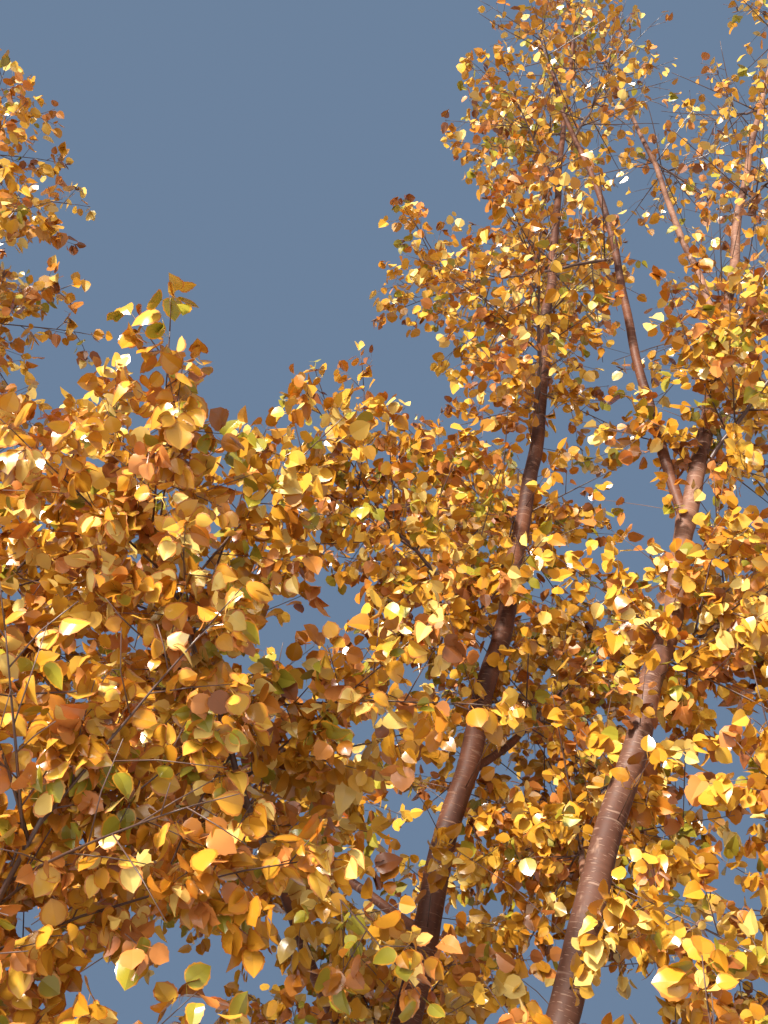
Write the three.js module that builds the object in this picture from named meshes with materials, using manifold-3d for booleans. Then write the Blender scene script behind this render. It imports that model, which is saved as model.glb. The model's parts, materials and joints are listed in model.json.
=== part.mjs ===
// A small clump birch in autumn leaf: three slender stems that lean out of one flared foot, tapering
// boughs, and open masses of twigs and leaves. Millimetres, +Z up, the origin on the ground under the foot.
import * as THREE from "three";
import { mergeVertices } from "three/addons/utils/BufferGeometryUtils.js";
import Module from "manifold-3d";

const wasm = await Module();
wasm.setup();

// How the pieces meet
const CLEARANCE = 0.3;
const MERGE_DISTANCE = 1e-3;

// The foot, where the stems join
const FOOT_HEIGHT = 170;
const FOOT_RADIUS = 165;
const FOOT_TOP_RADIUS = 58;
const FOOT_TOES = 5;
const FOOT_TOE_DEPTH = 0.16;
const FOOT_TOE_TURN = 0.6;
const FOOT_SEGMENTS = 15;
const FOOT_ROWS = 4;
const ARM_LENGTH = 400;
const CUT_BLOCK = 2000;
const FLARE = 0.6;
const FLARE_HEIGHT = 110;

// Limbs. A step is the pace of the line's own bends, and a ring is where the solid has corners.
const STEM_SIDES = 8;
const BOUGH_SIDES = 6;
const STEM_STEP = 280;
const STEM_RING_STEP = 520;
const STEM_TAPER = 1.1;
const STEM_TIP_RADIUS = 7;
const BOUGH_STEPS = 4;
const BOUGH_TIP_RADIUS = 8.5;
const BOUGH_RADIUS_SHARE = 0.42;
const BOUGH_LENGTHS = [0.88, 1.12];
const BOUGH_BEND = { lift: 0.2, sway: 0.06, waves: 1.2 };
const SHORTEST_BOUGH = 260;

// Where boughs and masses stand on a stem, from its lowest level, 0, to its highest, 1
const SITE_CROWDING = 1.25;
const BOUGH_LEVELS = 0.62;
const LOW_RISE = 15;
const HIGH_RISE = 62;
const HEADING_STRAY = 24;
const RISE_STRAY = 16;
const GOLDEN_SHARE = 0.618;
const GOLDEN_ANGLE = 137.5;

// Masses of foliage, smaller towards the crown's top
const CROWN_FOOT = 1400;
const CROWN_TOP = 6700;
const TOP_SHRINK = 0.5;
const SPACE_MARGIN = 7;
const LIMB_MARGIN = 9;

// Twigs
const TWIG_SIDES = 3;
const TWIG_LIFT = 0.06;
const MAIN_TWIG_LENGTH = 680;
const MAIN_TWIG_STEPS = 3;
const MAIN_TWIG_RADIUS = 8;
const MAIN_TWIG_TIP_RADIUS = 4;
const MAIN_TWIG_TURNS = [0, 18, -18, 36, -36, 54, -54];
const MAIN_TWIG_TESTS = [0.2, 0.3, 0.4, 0.5, 0.6, 0.7, 0.8, 0.9, 1];
const SIDE_TWIGS = 7;
const SIDE_TWIG_LENGTH = 380;
const SIDE_TWIG_SHARE = 0.27;
const SIDE_TWIG_SITES = [0.1, 0.93];
const SIDE_TWIG_SPREADS = [68, 36];
const SPREAD_STRAY = 16;
const LAST_TWIG_SHARE = 0.6;
const SIDE_TWIG_LENGTHS = [0.85, 1.1];
const TWIG_NECK_SHARE = 0.7;

// Leaves. Each is larger than life and stands for a spray of real ones. One that meets another thing is
// turned, then made smaller, and then left out. A clean joint adds no more than the given faces.
const LEAF_LENGTH = 240;
const LEAF_WIDTH = 200;
const LEAF_THICKNESS = 8;
const LEAF_WIDEST = 0.4;
const LEAF_SHRINK = 0.6;
const LEAF_BEND = 55;
const LEAF_SITES = [0.5, 0.78];
const LAST_LEAF_SITE = 0.97;
const LEAF_LENGTHS = [0.85, 1.15];
const LEAF_TURN_STRAY = 2.4;
const LEAF_REACH_SHARE = 0.4;
const LEAF_TURNS = [0, 1.1, -1.1];
const LEAF_SIZES = [1, 0.6];
const CLEAN_TWIG_FACES = 30;
const CLEAN_LEAF_FACES = 26;

const UP = new THREE.Vector3(0, 0, 1);
const radians = THREE.MathUtils.degToRad;
const mix = THREE.MathUtils.lerp;

// Headings turn from +X towards +Y. A lean is measured from the vertical. A side limb starts at the
// share "from" along its parent. Boughs and masses are dealt out over the "fan", from firstHeading on.
const STEMS = [
  {
    name: "middle_stem",
    foot: [17, 60, -60],
    heading: 3,
    lean: 22,
    lift: 0.162,
    sway: 0.029,
    waves: 1.54,
    phase: 0.13,
    length: 6560,
    footRadius: 41,
    sites: 14,
    firstSite: 0.2,
    lastSite: 0.94,
    firstHeading: 30,
    fan: 255,
    longestBough: 860,
    tint: 0x7a4a35,
  },
  {
    name: "right_stem",
    foot: [19, -55, -60],
    heading: -3,
    lean: 24.5,
    lift: 0.048,
    sway: 0.044,
    waves: 1,
    phase: 0.61,
    length: 6000,
    footRadius: 44,
    sites: 9,
    firstSite: 0.2,
    lastSite: 0.92,
    firstHeading: -52,
    fan: 150,
    longestBough: 820,
    tint: 0xa9745c,
  },
  {
    name: "left_stem",
    foot: [-62, 5, -60],
    heading: 205,
    lean: 10,
    lift: 0.06,
    sway: 0.04,
    waves: 1.3,
    phase: 0.3,
    length: 4300,
    footRadius: 36,
    sites: 9,
    firstSite: 0.24,
    lastSite: 0.92,
    firstHeading: 350,
    fan: -240,
    longestBough: 760,
    tint: 0x84523c,
  },
  {
    name: "right_inner_stem",
    parent: "right_stem",
    from: 0.57,
    heading: 170,
    lean: 2,
    lift: 0.1,
    sway: 0.05,
    waves: 0.9,
    phase: 0.1,
    length: 2250,
    footRadius: 14,
    sites: 2,
    firstSite: 0.45,
    lastSite: 0.78,
    firstHeading: 160,
    fan: 360,
    longestBough: 0,
    tint: 0x6d4331,
  },
  {
    name: "right_back_stem",
    parent: "right_stem",
    from: 0.7,
    heading: 90,
    lean: 8,
    lift: 0.12,
    sway: 0.05,
    waves: 0.8,
    phase: 0.4,
    length: 1900,
    footRadius: 12,
    sites: 1,
    firstSite: 0.6,
    lastSite: 0.6,
    firstHeading: 60,
    fan: 360,
    longestBough: 0,
    tint: 0xb08468,
  },
];

// A seeded stream of numbers from 0 to 1, the same on every run.
function chance(seed) {
  let state = (seed * 2654435761) >>> 0;
  return () => {
    state = (Math.imul(state, 1664525) + 1013904223) >>> 0;
    return state / 4294967296;
  };
}

function headingVector(heading, rise) {
  const h = radians(heading);
  const e = radians(rise);
  return new THREE.Vector3(Math.cos(e) * Math.cos(h), Math.cos(e) * Math.sin(h), Math.sin(e));
}

// Walks from a start in equal steps, turning a little towards the light and swaying from side to side.
function walk({ start, direction, length, steps, lift, sway = 0, waves = 1, phase = 0 }) {
  const heading = Math.atan2(direction.y, direction.x);
  const side = new THREE.Vector3(-Math.sin(heading), Math.cos(heading), 0);
  const front = new THREE.Vector3(Math.cos(heading), Math.sin(heading), 0);
  const aim = direction.clone();
  const points = [start.clone()];
  const step = length / steps;
  for (let i = 0; i < steps; i++) {
    const turn = (i + 0.5) / steps;
    aim.addScaledVector(UP, (lift * step) / 1000).normalize();
    const swing = Math.sin(2 * Math.PI * (waves * turn + phase)) * sway;
    const nod = Math.cos(2 * Math.PI * (1.3 * waves * turn + phase)) * sway;
    const pace = aim.clone().addScaledVector(side, swing).addScaledVector(front, nod).normalize();
    points.push(points[i].clone().addScaledVector(pace, step));
  }
  return points;
}

// The point and direction at a share of the way along a walked line.
function along(points, share) {
  const place = share * (points.length - 1);
  const i = Math.min(Math.floor(place), points.length - 2);
  const direction = points[i + 1].clone().sub(points[i]);
  const point = points[i].clone().addScaledVector(direction, place - i);
  return { point, direction: direction.normalize() };
}

// A closed manifold-3d solid from a geometry, facing out.
function solidOf(geometry) {
  const bare = new THREE.BufferGeometry();
  bare.setAttribute("position", geometry.getAttribute("position"));
  bare.setIndex(geometry.index);
  const merged = mergeVertices(bare, MERGE_DISTANCE);
  const corners = [];
  for (let i = 0; i < merged.index.count; i += 3) {
    const [a, b, c] = [0, 1, 2].map((k) => merged.index.getX(i + k));
    if (a !== b && b !== c && c !== a) corners.push(a, b, c);
  }
  const make = (triVerts) =>
    new wasm.Manifold(
      new wasm.Mesh({
        numProp: 3,
        vertProperties: new Float32Array(merged.attributes.position.array),
        triVerts: new Uint32Array(triVerts),
      }),
    );
  const solid = make(corners);
  return solid.volume() > 0 ? solid : make(corners.reverse());
}

// The largest single body of a solid, without loose scraps or sealed hollows.
function largest(solid) {
  return solid.decompose().reduce((best, body) => (body.volume() > best.volume() ? body : best));
}

function geometryOf(solid) {
  const mesh = solid.getMesh();
  const corners = new Float32Array(mesh.numVert * 3);
  for (let i = 0; i < mesh.numVert; i++) {
    corners.set(mesh.vertProperties.subarray(i * mesh.numProp, i * mesh.numProp + 3), i * 3);
  }
  const geometry = new THREE.BufferGeometry();
  geometry.setAttribute("position", new THREE.BufferAttribute(corners, 3));
  geometry.setIndex(new THREE.BufferAttribute(new Uint32Array(mesh.triVerts), 1));
  geometry.computeVertexNormals();
  return geometry;
}

// A tapering tube round a walked line. A pointed one narrows evenly to nothing.
function tube(points, radiusAt, sides, steps, pointed = false) {
  const curve = new THREE.CatmullRomCurve3(points, false, "centripetal");
  const frames = curve.computeFrenetFrames(steps, false);
  const geometry = new THREE.CylinderGeometry(pointed ? 0 : 1, 1, 1, sides, steps);
  const position = geometry.getAttribute("position");
  for (let i = 0; i < position.count; i++) {
    const row = Math.round((position.getY(i) + 0.5) * steps);
    const radius = radiusAt(row / steps);
    const place = curve
      .getPointAt(row / steps)
      .addScaledVector(frames.normals[row], position.getX(i) * radius)
      .addScaledVector(frames.binormals[row], position.getZ(i) * radius);
    position.setXYZ(i, place.x, place.y, place.z);
  }
  return solidOf(geometry);
}

// A block that ends in a flat face across a line at a point.
function blockBelow(point, direction, size) {
  const turn = new THREE.Quaternion().setFromUnitVectors(UP, direction);
  const box = new THREE.BoxGeometry(size, size, size).applyQuaternion(turn);
  const centre = point.clone().addScaledVector(direction, -size / 2);
  return solidOf(box.translate(centre.x, centre.y, centre.z));
}

// The side and face directions of a leaf that grows along a direction and faces a normal.
function leafFrame(direction, normal) {
  const side = new THREE.Vector3().crossVectors(normal, direction).normalize();
  return { side, face: new THREE.Vector3().crossVectors(direction, side).normalize() };
}

// A flat, pointed leaf of eight faces, widest nearer its root, which lies in the middle of the twig.
function leafSolid({ root, direction, normal, length }) {
  const { side, face } = leafFrame(direction, normal);
  const share = length / LEAF_LENGTH;
  const geometry = new THREE.OctahedronGeometry(1, 0);
  geometry.scale(length / 2, (LEAF_WIDTH * share) / 2, (LEAF_THICKNESS * share) / 2);
  const position = geometry.getAttribute("position");
  for (let i = 0; i < position.count; i++) {
    const middle = Math.abs(position.getX(i)) < 1 ? LEAF_WIDEST * length : length / 2;
    position.setX(i, position.getX(i) + middle);
  }
  const basis = new THREE.Matrix4().makeBasis(direction, side, face).setPosition(root);
  return solidOf(geometry.applyMatrix4(basis));
}

// A straight three-sided twig that widens into a flat, pointed leaf at its end.
function twigSolid({ root, direction, normal, length, stalk, radius }) {
  const { side, face } = leafFrame(direction, normal);
  const share = length / LEAF_LENGTH;
  const neck = TWIG_NECK_SHARE * radius;
  const rows = [
    { way: 0, half: radius, thickness: 1.5 * radius },
    { way: stalk, half: neck, thickness: 1.5 * neck },
    { way: stalk + LEAF_WIDEST * length, half: (share * LEAF_WIDTH) / 2, thickness: share * LEAF_THICKNESS },
    { way: stalk + length, half: 0, thickness: 0 },
  ];
  const geometry = new THREE.CylinderGeometry(1, 1, 1, TWIG_SIDES, rows.length - 1);
  const position = geometry.getAttribute("position");
  for (let i = 0; i < position.count; i++) {
    const row = rows[Math.round((position.getY(i) + 0.5) * (rows.length - 1))];
    const across = position.getX(i) / Math.sin(Math.PI / TWIG_SIDES);
    const through = position.getZ(i) / (1 + Math.cos(Math.PI / TWIG_SIDES));
    const place = root
      .clone()
      .addScaledVector(direction, row.way)
      .addScaledVector(side, across * row.half)
      .addScaledVector(face, through * row.thickness);
    position.setXYZ(i, place.x, place.y, place.z);
  }
  return solidOf(geometry);
}

// Points round the outline of a leaf.
function leafOutline({ root, direction, normal, length, stalk }) {
  const { side } = leafFrame(direction, normal);
  const half = (0.5 * LEAF_WIDTH * length) / LEAF_LENGTH;
  const reach = (share, across) =>
    root.clone().addScaledVector(direction, stalk + share * length).addScaledVector(side, across * half);
  return [reach(1, 0), reach(0.6, 0), reach(0.4, 1), reach(0.4, -1), reach(0.7, 0.5), reach(0.7, -0.5)];
}

function distanceToSegment(point, a, b) {
  const span = b.clone().sub(a);
  const share = THREE.MathUtils.clamp(point.clone().sub(a).dot(span) / span.lengthSq(), 0, 1);
  return point.distanceTo(a.clone().addScaledVector(span, share));
}

// The stems' own lines and widths.
function growStems() {
  const limbs = new Map();
  for (const stem of STEMS) {
    const start = stem.parent
      ? along(limbs.get(stem.parent).points, stem.from).point
      : new THREE.Vector3(...stem.foot);
    const direction = headingVector(stem.heading, 90 - stem.lean);
    const steps = Math.round(stem.length / STEM_STEP);
    const points = walk({ ...stem, start, direction, steps });
    const flareAt = (t) => (stem.parent ? 0 : FLARE * Math.exp((-t * stem.length) / FLARE_HEIGHT));
    const radiusAt = (t) =>
      mix(STEM_TIP_RADIUS, stem.footRadius, (1 - t) ** STEM_TAPER) * (1 + flareAt(t));
    const rings = Math.round(stem.length / STEM_RING_STEP);
    limbs.set(stem.name, { ...stem, points, radiusAt, rings, sides: STEM_SIDES });
  }
  return limbs;
}

// Sites follow one another up a stem and are dealt out over its fan by the golden share. A low one has
// a bough with a mass at its tip, a high one only a mass.
function growSites(limbs) {
  const masses = [];
  for (const stem of [...limbs.values()]) {
    for (let i = 0; i < stem.sites; i++) {
      const random = chance(masses.length + 1);
      const level = stem.sites > 1 ? i / (stem.sites - 1) : 0.5;
      const site = mix(stem.firstSite, stem.lastSite, level ** SITE_CROWDING);
      const start = along(stem.points, site).point;
      const turn = stem.fan * ((i * GOLDEN_SHARE) % 1);
      const heading = stem.firstHeading + turn + (random() - 0.5) * HEADING_STRAY;
      const rise = mix(LOW_RISE, HIGH_RISE, level) + (random() - 0.5) * RISE_STRAY;
      const direction = headingVector(heading, rise);
      const length = stem.longestBough * (1 - level / BOUGH_LEVELS) * mix(...BOUGH_LENGTHS, random());
      if (length < SHORTEST_BOUGH) {
        masses.push({ start, direction, carrier: stem.name });
        continue;
      }
      const name = `${stem.name.replace("_stem", "")}_bough_${i + 1}`;
      const radius = Math.max(BOUGH_RADIUS_SHARE * stem.radiusAt(site), BOUGH_TIP_RADIUS + 1);
      const bough = {
        name,
        parent: stem.name,
        points: walk({ start, direction, length, steps: BOUGH_STEPS, ...BOUGH_BEND, phase: random() }),
        radiusAt: (t) => mix(radius, BOUGH_TIP_RADIUS, t),
        rings: BOUGH_STEPS,
        sides: BOUGH_SIDES,
        tint: stem.tint,
      };
      limbs.set(name, bough);
      const tip = along(bough.points, 1);
      masses.push({ start: tip.point, direction: tip.direction, carrier: name });
    }
    const tip = along(stem.points, 1);
    masses.push({ start: tip.point, direction: tip.direction, carrier: stem.name });
  }
  return masses;
}

function distanceToLine(point, points) {
  let nearest = Infinity;
  for (let i = 1; i < points.length; i++) {
    nearest = Math.min(nearest, distanceToSegment(point, points[i - 1], points[i]));
  }
  return nearest;
}

function isNearLimb(point, limb, margin) {
  const last = limb.points.length - 1;
  for (let i = 0; i < last; i++) {
    const room = limb.radiusAt(i / last) + margin;
    if (distanceToSegment(point, limb.points[i], limb.points[i + 1]) < room) return true;
  }
  return false;
}

// Each mass gets its main twig, turned aside where it would meet a limb, and the space round that twig
// that no other mass may enter.
function giveSpaces(masses, limbs) {
  masses.forEach((mass, index) => {
    const height = THREE.MathUtils.clamp((mass.start.z - CROWN_FOOT) / (CROWN_TOP - CROWN_FOOT), 0, 1);
    mass.name = `foliage_${String(index + 1).padStart(2, "0")}`;
    mass.size = 1 - TOP_SHRINK * height;
    mass.reach = (SIDE_TWIG_LENGTH + LEAF_REACH_SHARE * LEAF_LENGTH) * mass.size;
    const others = [...limbs.values()].filter((limb) => limb.name !== mass.carrier);
    const meetsLimb = (point) => others.some((limb) => isNearLimb(point, limb, 2 * LIMB_MARGIN));
    for (const turn of MAIN_TWIG_TURNS) {
      const direction = mass.direction.clone().applyAxisAngle(UP, radians(turn));
      const length = MAIN_TWIG_LENGTH * mass.size;
      mass.points = walk({ start: mass.start, direction, length, steps: MAIN_TWIG_STEPS, lift: TWIG_LIFT });
      if (!MAIN_TWIG_TESTS.some((share) => meetsLimb(along(mass.points, share).point))) break;
    }
  });
}

// Whether a point lies in a mass's own space, clear of the other masses and of every limb.
function isFree(point, mass, masses, limbs) {
  const own = distanceToLine(point, mass.points) - mass.reach + 2 * SPACE_MARGIN;
  for (const other of masses) {
    if (other !== mass && distanceToLine(point, other.points) - other.reach < own) return false;
  }
  return ![...limbs.values()].some((limb) => isNearLimb(point, limb, LIMB_MARGIN));
}

// Joins a leaf, or a twig that ends in one, to a mass. Gives back the twig's length, or null where no turn
// or size of it keeps clear.
function join(mass, shape, makeSolid, cleanFaces, random, free) {
  const fullLength = LEAF_LENGTH * mix(1, mass.size, LEAF_SHRINK) * mix(...LEAF_LENGTHS, random());
  const firstTurn = (random() - 0.5) * LEAF_TURN_STRAY;
  for (const size of LEAF_SIZES) {
    for (const turn of LEAF_TURNS) {
      const normal = UP.clone().applyAxisAngle(shape.direction, firstTurn + turn);
      const length = fullLength * mix(1, size, 0.5);
      const placed = { ...shape, normal, length, stalk: size * shape.stalk };
      if (!free(leafOutline(placed))) continue;
      const joined = mass.solid.add(makeSolid(placed));
      if (joined.numTri() > mass.solid.numTri() + cleanFaces) continue;
      mass.solid = joined;
      return placed.stalk;
    }
  }
  return null;
}

const mainTwigRadius = (mass, share) => mix(MAIN_TWIG_RADIUS, MAIN_TWIG_TIP_RADIUS, share) * mass.size;

// The side twigs of a mass turn round its main twig by the golden angle, wider apart and longer near its
// root.
function growSideTwigs(mass, index) {
  const random = chance(1000 + index);
  const firstTurn = random() * 360;
  const twigs = [];
  for (let i = 0; i < SIDE_TWIGS; i++) {
    const level = i / (SIDE_TWIGS - 1);
    const share = mix(...SIDE_TWIG_SITES, level);
    const { point: root, direction: onward } = along(mass.points, share);
    const spread = radians(mix(...SIDE_TWIG_SPREADS, level) + (random() - 0.5) * SPREAD_STRAY);
    const across = new THREE.Vector3().crossVectors(onward, UP).normalize();
    across.applyAxisAngle(onward, radians(firstTurn + i * GOLDEN_ANGLE));
    const direction = onward.clone().multiplyScalar(Math.cos(spread));
    direction.addScaledVector(across, Math.sin(spread));
    const fullStalk = SIDE_TWIG_LENGTH * mass.size * mix(1, LAST_TWIG_SHARE, level);
    const stalk = fullStalk * mix(...SIDE_TWIG_LENGTHS, random());
    const radius = SIDE_TWIG_SHARE * mainTwigRadius(mass, share);
    twigs.push({ root, direction, stalk, radius });
  }
  return twigs;
}

// The twigs and leaves of one mass, fused. Each side twig has a leaf at its tip and two beside it.
function fillMass(mass, index, masses, limbs) {
  const random = chance(2000 + index);
  const free = (points) => points.every((point) => isFree(point, mass, masses, limbs));
  mass.solid = tube(mass.points, (t) => mainTwigRadius(mass, t), TWIG_SIDES, MAIN_TWIG_STEPS);
  const addTwig = (shape) => join(mass, shape, twigSolid, CLEAN_TWIG_FACES, random, free);
  const addLeaf = (root, direction) =>
    join(mass, { root, direction, stalk: 0 }, leafSolid, CLEAN_LEAF_FACES, random, free);
  growSideTwigs(mass, index).forEach((twig, i) => {
    const stalk = addTwig(twig);
    if (stalk === null) return;
    const at = (t) => twig.root.clone().addScaledVector(twig.direction, t * stalk);
    const bend = (i % 2 ? -1 : 1) * radians(LEAF_BEND);
    addLeaf(at(LEAF_SITES[0]), twig.direction.clone().applyAxisAngle(UP, bend));
    addLeaf(at(LEAF_SITES[1]), twig.direction.clone().applyAxisAngle(UP, -bend));
  });
  const end = along(mass.points, LAST_LEAF_SITE);
  addLeaf(end.point, end.direction);
}

// The flared foot with the first stretch of each of the three stems.
function footSolid() {
  const profile = [new THREE.Vector2(0, 0)];
  for (let i = 0; i < FOOT_ROWS; i++) {
    const rise = i / FOOT_ROWS;
    profile.push(new THREE.Vector2(mix(FOOT_TOP_RADIUS, FOOT_RADIUS, (1 - rise) ** 2), FOOT_HEIGHT * rise));
  }
  profile.push(new THREE.Vector2(FOOT_TOP_RADIUS, FOOT_HEIGHT));
  profile.push(new THREE.Vector2(0, FOOT_HEIGHT));
  const geometry = new THREE.LatheGeometry(profile, FOOT_SEGMENTS).rotateX(Math.PI / 2);
  const position = geometry.getAttribute("position");
  for (let i = 0; i < position.count; i++) {
    const turn = Math.atan2(position.getY(i), position.getX(i));
    const low = 1 - position.getZ(i) / FOOT_HEIGHT;
    const toe = 1 + FOOT_TOE_DEPTH * low * Math.cos(FOOT_TOES * turn + FOOT_TOE_TURN);
    position.setXYZ(i, position.getX(i) * toe, position.getY(i) * toe, position.getZ(i));
  }
  return solidOf(geometry);
}

const group = new THREE.Group();

function addPart(name, solid, color, roughness) {
  const material = new THREE.MeshStandardMaterial({ color, roughness, metalness: 0 });
  const mesh = new THREE.Mesh(geometryOf(solid), material);
  mesh.name = name;
  group.add(mesh);
}

const limbs = growStems();
const masses = growSites(limbs);
giveSpaces(masses, limbs);

// Every limb's tube, and the slightly larger one that cuts what meets it.
for (const limb of limbs.values()) {
  limb.tube = tube(limb.points, limb.radiusAt, limb.sides, limb.rings);
  const tip = along(limb.points, 1);
  const longer = [...limb.points];
  longer[longer.length - 1] = tip.point.addScaledVector(tip.direction, CLEARANCE);
  limb.cutter = tube(longer, (t) => limb.radiusAt(t) + CLEARANCE, limb.sides, limb.rings);
}

// The foot keeps the stems' first stretch, cut square, and each stem goes on from there.
const ground = blockBelow(new THREE.Vector3(0, 0, 0), UP, CUT_BLOCK);
let foot = footSolid();
for (const limb of limbs.values()) {
  if (limb.parent) continue;
  const cut = along(limb.points, ARM_LENGTH / limb.length);
  foot = foot.add(limb.tube.intersect(blockBelow(cut.point, cut.direction, CUT_BLOCK)));
  cut.point.addScaledVector(cut.direction, CLEARANCE);
  limb.solid = largest(limb.tube.subtract(blockBelow(cut.point, cut.direction, CUT_BLOCK)));
}
addPart("trunk_foot", largest(foot.subtract(ground)), 0x6a4434, 0.8);

// A side limb is cut clear of its parent, and a side stem also of the stem beside it.
for (const limb of limbs.values()) {
  if (limb.parent) {
    const beside = limb.name === "right_back_stem" ? [limbs.get("right_inner_stem").cutter] : [];
    limb.solid = limb.tube.subtract(limbs.get(limb.parent).cutter);
    for (const cutter of beside) limb.solid = limb.solid.subtract(cutter);
    limb.solid = largest(limb.solid);
  }
  addPart(limb.name, limb.solid, limb.tint, 0.62);
}

const LEAF_TINTS = [0xd9962a, 0xc9821f, 0xe0a63c, 0xd08a3a, 0xb98a22];
masses.forEach((mass, index) => {
  const cutter = limbs.get(mass.carrier).cutter;
  fillMass(mass, index, masses, limbs);
  addPart(mass.name, largest(mass.solid.subtract(cutter)), LEAF_TINTS[index % LEAF_TINTS.length], 0.45);
});

export default group;
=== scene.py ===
# %% [markdown]
# # A clump birch in autumn leaf
# The plain model gives the three leaning stems, their boughs, and one stand-in for each mass of
# foliage. It could be dressed by hand, leaf by leaf, but a tree has tens of thousands of them.
# So this lesson grows the same tree again by the same rule, and carries the growth on from the
# boughs to fine twigs, short shoots and single leaves. Everything is in metres, +Z up.

# %% Load the plain model as the frame
import json
import math

import bmesh
import bpy
import numpy as np
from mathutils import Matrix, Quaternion, Vector, noise

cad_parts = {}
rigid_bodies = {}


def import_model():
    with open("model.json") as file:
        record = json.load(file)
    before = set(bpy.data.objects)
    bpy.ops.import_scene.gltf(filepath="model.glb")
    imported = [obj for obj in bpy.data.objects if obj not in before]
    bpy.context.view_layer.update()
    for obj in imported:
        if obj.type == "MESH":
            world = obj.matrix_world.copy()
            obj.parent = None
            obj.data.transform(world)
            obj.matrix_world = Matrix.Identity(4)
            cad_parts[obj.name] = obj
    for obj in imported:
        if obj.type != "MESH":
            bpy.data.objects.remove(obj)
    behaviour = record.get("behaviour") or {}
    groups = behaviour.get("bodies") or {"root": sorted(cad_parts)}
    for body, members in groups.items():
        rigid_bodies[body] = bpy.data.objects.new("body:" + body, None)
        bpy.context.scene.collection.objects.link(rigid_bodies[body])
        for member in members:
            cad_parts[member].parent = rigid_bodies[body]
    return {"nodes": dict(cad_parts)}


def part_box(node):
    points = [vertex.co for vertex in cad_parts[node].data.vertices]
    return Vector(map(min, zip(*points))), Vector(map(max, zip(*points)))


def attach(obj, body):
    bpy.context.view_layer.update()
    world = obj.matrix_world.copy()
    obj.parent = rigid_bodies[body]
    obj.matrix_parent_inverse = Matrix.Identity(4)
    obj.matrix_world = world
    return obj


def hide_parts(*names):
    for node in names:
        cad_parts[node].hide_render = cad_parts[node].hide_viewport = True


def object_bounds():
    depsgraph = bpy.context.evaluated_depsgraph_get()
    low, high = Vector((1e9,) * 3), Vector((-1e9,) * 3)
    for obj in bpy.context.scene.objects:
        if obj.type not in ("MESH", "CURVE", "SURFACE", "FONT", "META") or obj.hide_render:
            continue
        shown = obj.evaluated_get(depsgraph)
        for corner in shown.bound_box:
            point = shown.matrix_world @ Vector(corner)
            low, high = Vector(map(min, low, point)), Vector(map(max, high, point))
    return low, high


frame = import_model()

plain_box = [list(corner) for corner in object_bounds()]
print("nodes:", len(frame["nodes"]), "box:", [[round(v, 3) for v in corner] for corner in plain_box])

# %% [markdown]
# ## The camera
# A person stands close under the tree and tilts the camera up at the crown. A camera can be aimed
# with a constraint, but a place and two angles are plainer and stay fixed. The lens follows from how
# much of the crown the picture takes in.

# %% Set the camera
EYE = Vector((0.65, -2.0, 1.6))
TILT = math.radians(40)
LENS = 35.16

camera_data = bpy.data.cameras.new("camera")
camera_data.lens = LENS
camera_data.sensor_width = 36
camera_data.clip_start = 0.02
camera = bpy.data.objects.new("camera", camera_data)
camera.location = EYE
camera.rotation_euler = (math.pi / 2 + TILT, 0, 0)
bpy.context.scene.collection.objects.link(camera)
bpy.context.scene.camera = camera
print("camera at", tuple(EYE), "tilted up", round(math.degrees(TILT)), "degrees")

# %% [markdown]
# ## The studio
# The tree stands on a plain pale floor in soft light. The main light comes from behind the camera's
# left shoulder, high up, as the sun does here. It could be a large lamp, but near lamps burn out the
# floor below them, so both lights are far ones with a width. A plain world fills the shadows, and the
# low light lifts the undersides of the leaves, which thin leaves show bright.

# %% Make the floor, the world and the lights
FLOOR_SIZE, FLOOR_DROP = 240.0, 0.002
FLOOR_COLOR, FLOOR_ROUGHNESS = (0.45, 0.45, 0.44), 0.9
SKY_COLOR, SKY_STRENGTH = (0.36, 0.53, 0.8), 0.42
CROWN_MIDDLE = Vector((0.9, 0.0, 3.6))
LIGHT_COLOR = (1.0, 0.95, 0.86)
LIGHTS = (
    ("main_light", Vector((-12.0, -23.0, 20.0)), 7.4, math.radians(8)),
    ("low_fill", Vector((-1.2, -7.5, 4.4)), 2.6, math.radians(50)),
)


def plain_material(name, color, roughness, specular=0.5):
    material = bpy.data.materials.new(name)
    material.use_nodes = True
    shader = material.node_tree.nodes["Principled BSDF"]
    shader.inputs["Base Color"].default_value = (*color, 1)
    shader.inputs["Roughness"].default_value = roughness
    shader.inputs["Specular IOR Level"].default_value = specular
    return material


def aimed_light(name, place, strength, width):
    data = bpy.data.lights.new(name, "SUN")
    data.energy = strength
    data.angle = width
    data.color = LIGHT_COLOR
    light = bpy.data.objects.new(name, data)
    light.location = place
    light.rotation_mode = "QUATERNION"
    light.rotation_quaternion = (CROWN_MIDDLE - place).to_track_quat("-Z", "Y")
    bpy.context.scene.collection.objects.link(light)


bpy.context.scene.view_settings.view_transform = "Standard"
floor_mesh = bmesh.new()
bmesh.ops.create_grid(floor_mesh, x_segments=1, y_segments=1, size=FLOOR_SIZE / 2)
floor_data = bpy.data.meshes.new("floor")
floor_mesh.to_mesh(floor_data)
floor_mesh.free()
floor = bpy.data.objects.new("floor", floor_data)
floor_data.materials.append(plain_material("pale_floor", FLOOR_COLOR, FLOOR_ROUGHNESS))
floor.location.z = plain_box[0][2] - FLOOR_DROP
bpy.context.scene.collection.objects.link(floor)

world = bpy.data.worlds.new("studio")
world.use_nodes = True
sky = world.node_tree.nodes["Background"]
sky.inputs["Color"].default_value = (*SKY_COLOR, 1)
sky.inputs["Strength"].default_value = SKY_STRENGTH
bpy.context.scene.world = world
for light_facts in LIGHTS:
    aimed_light(*light_facts)
print("floor at", round(floor.location.z, 4), "and", len(LIGHTS), "lights")

# %% [markdown]
# ## The rule of growth
# Every limb is a walk: equal steps that turn a little towards the light and sway from side to side.
# Chance comes from a small seeded stream of numbers, so the tree is the same on every run, and the
# same as the plain model.

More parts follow.
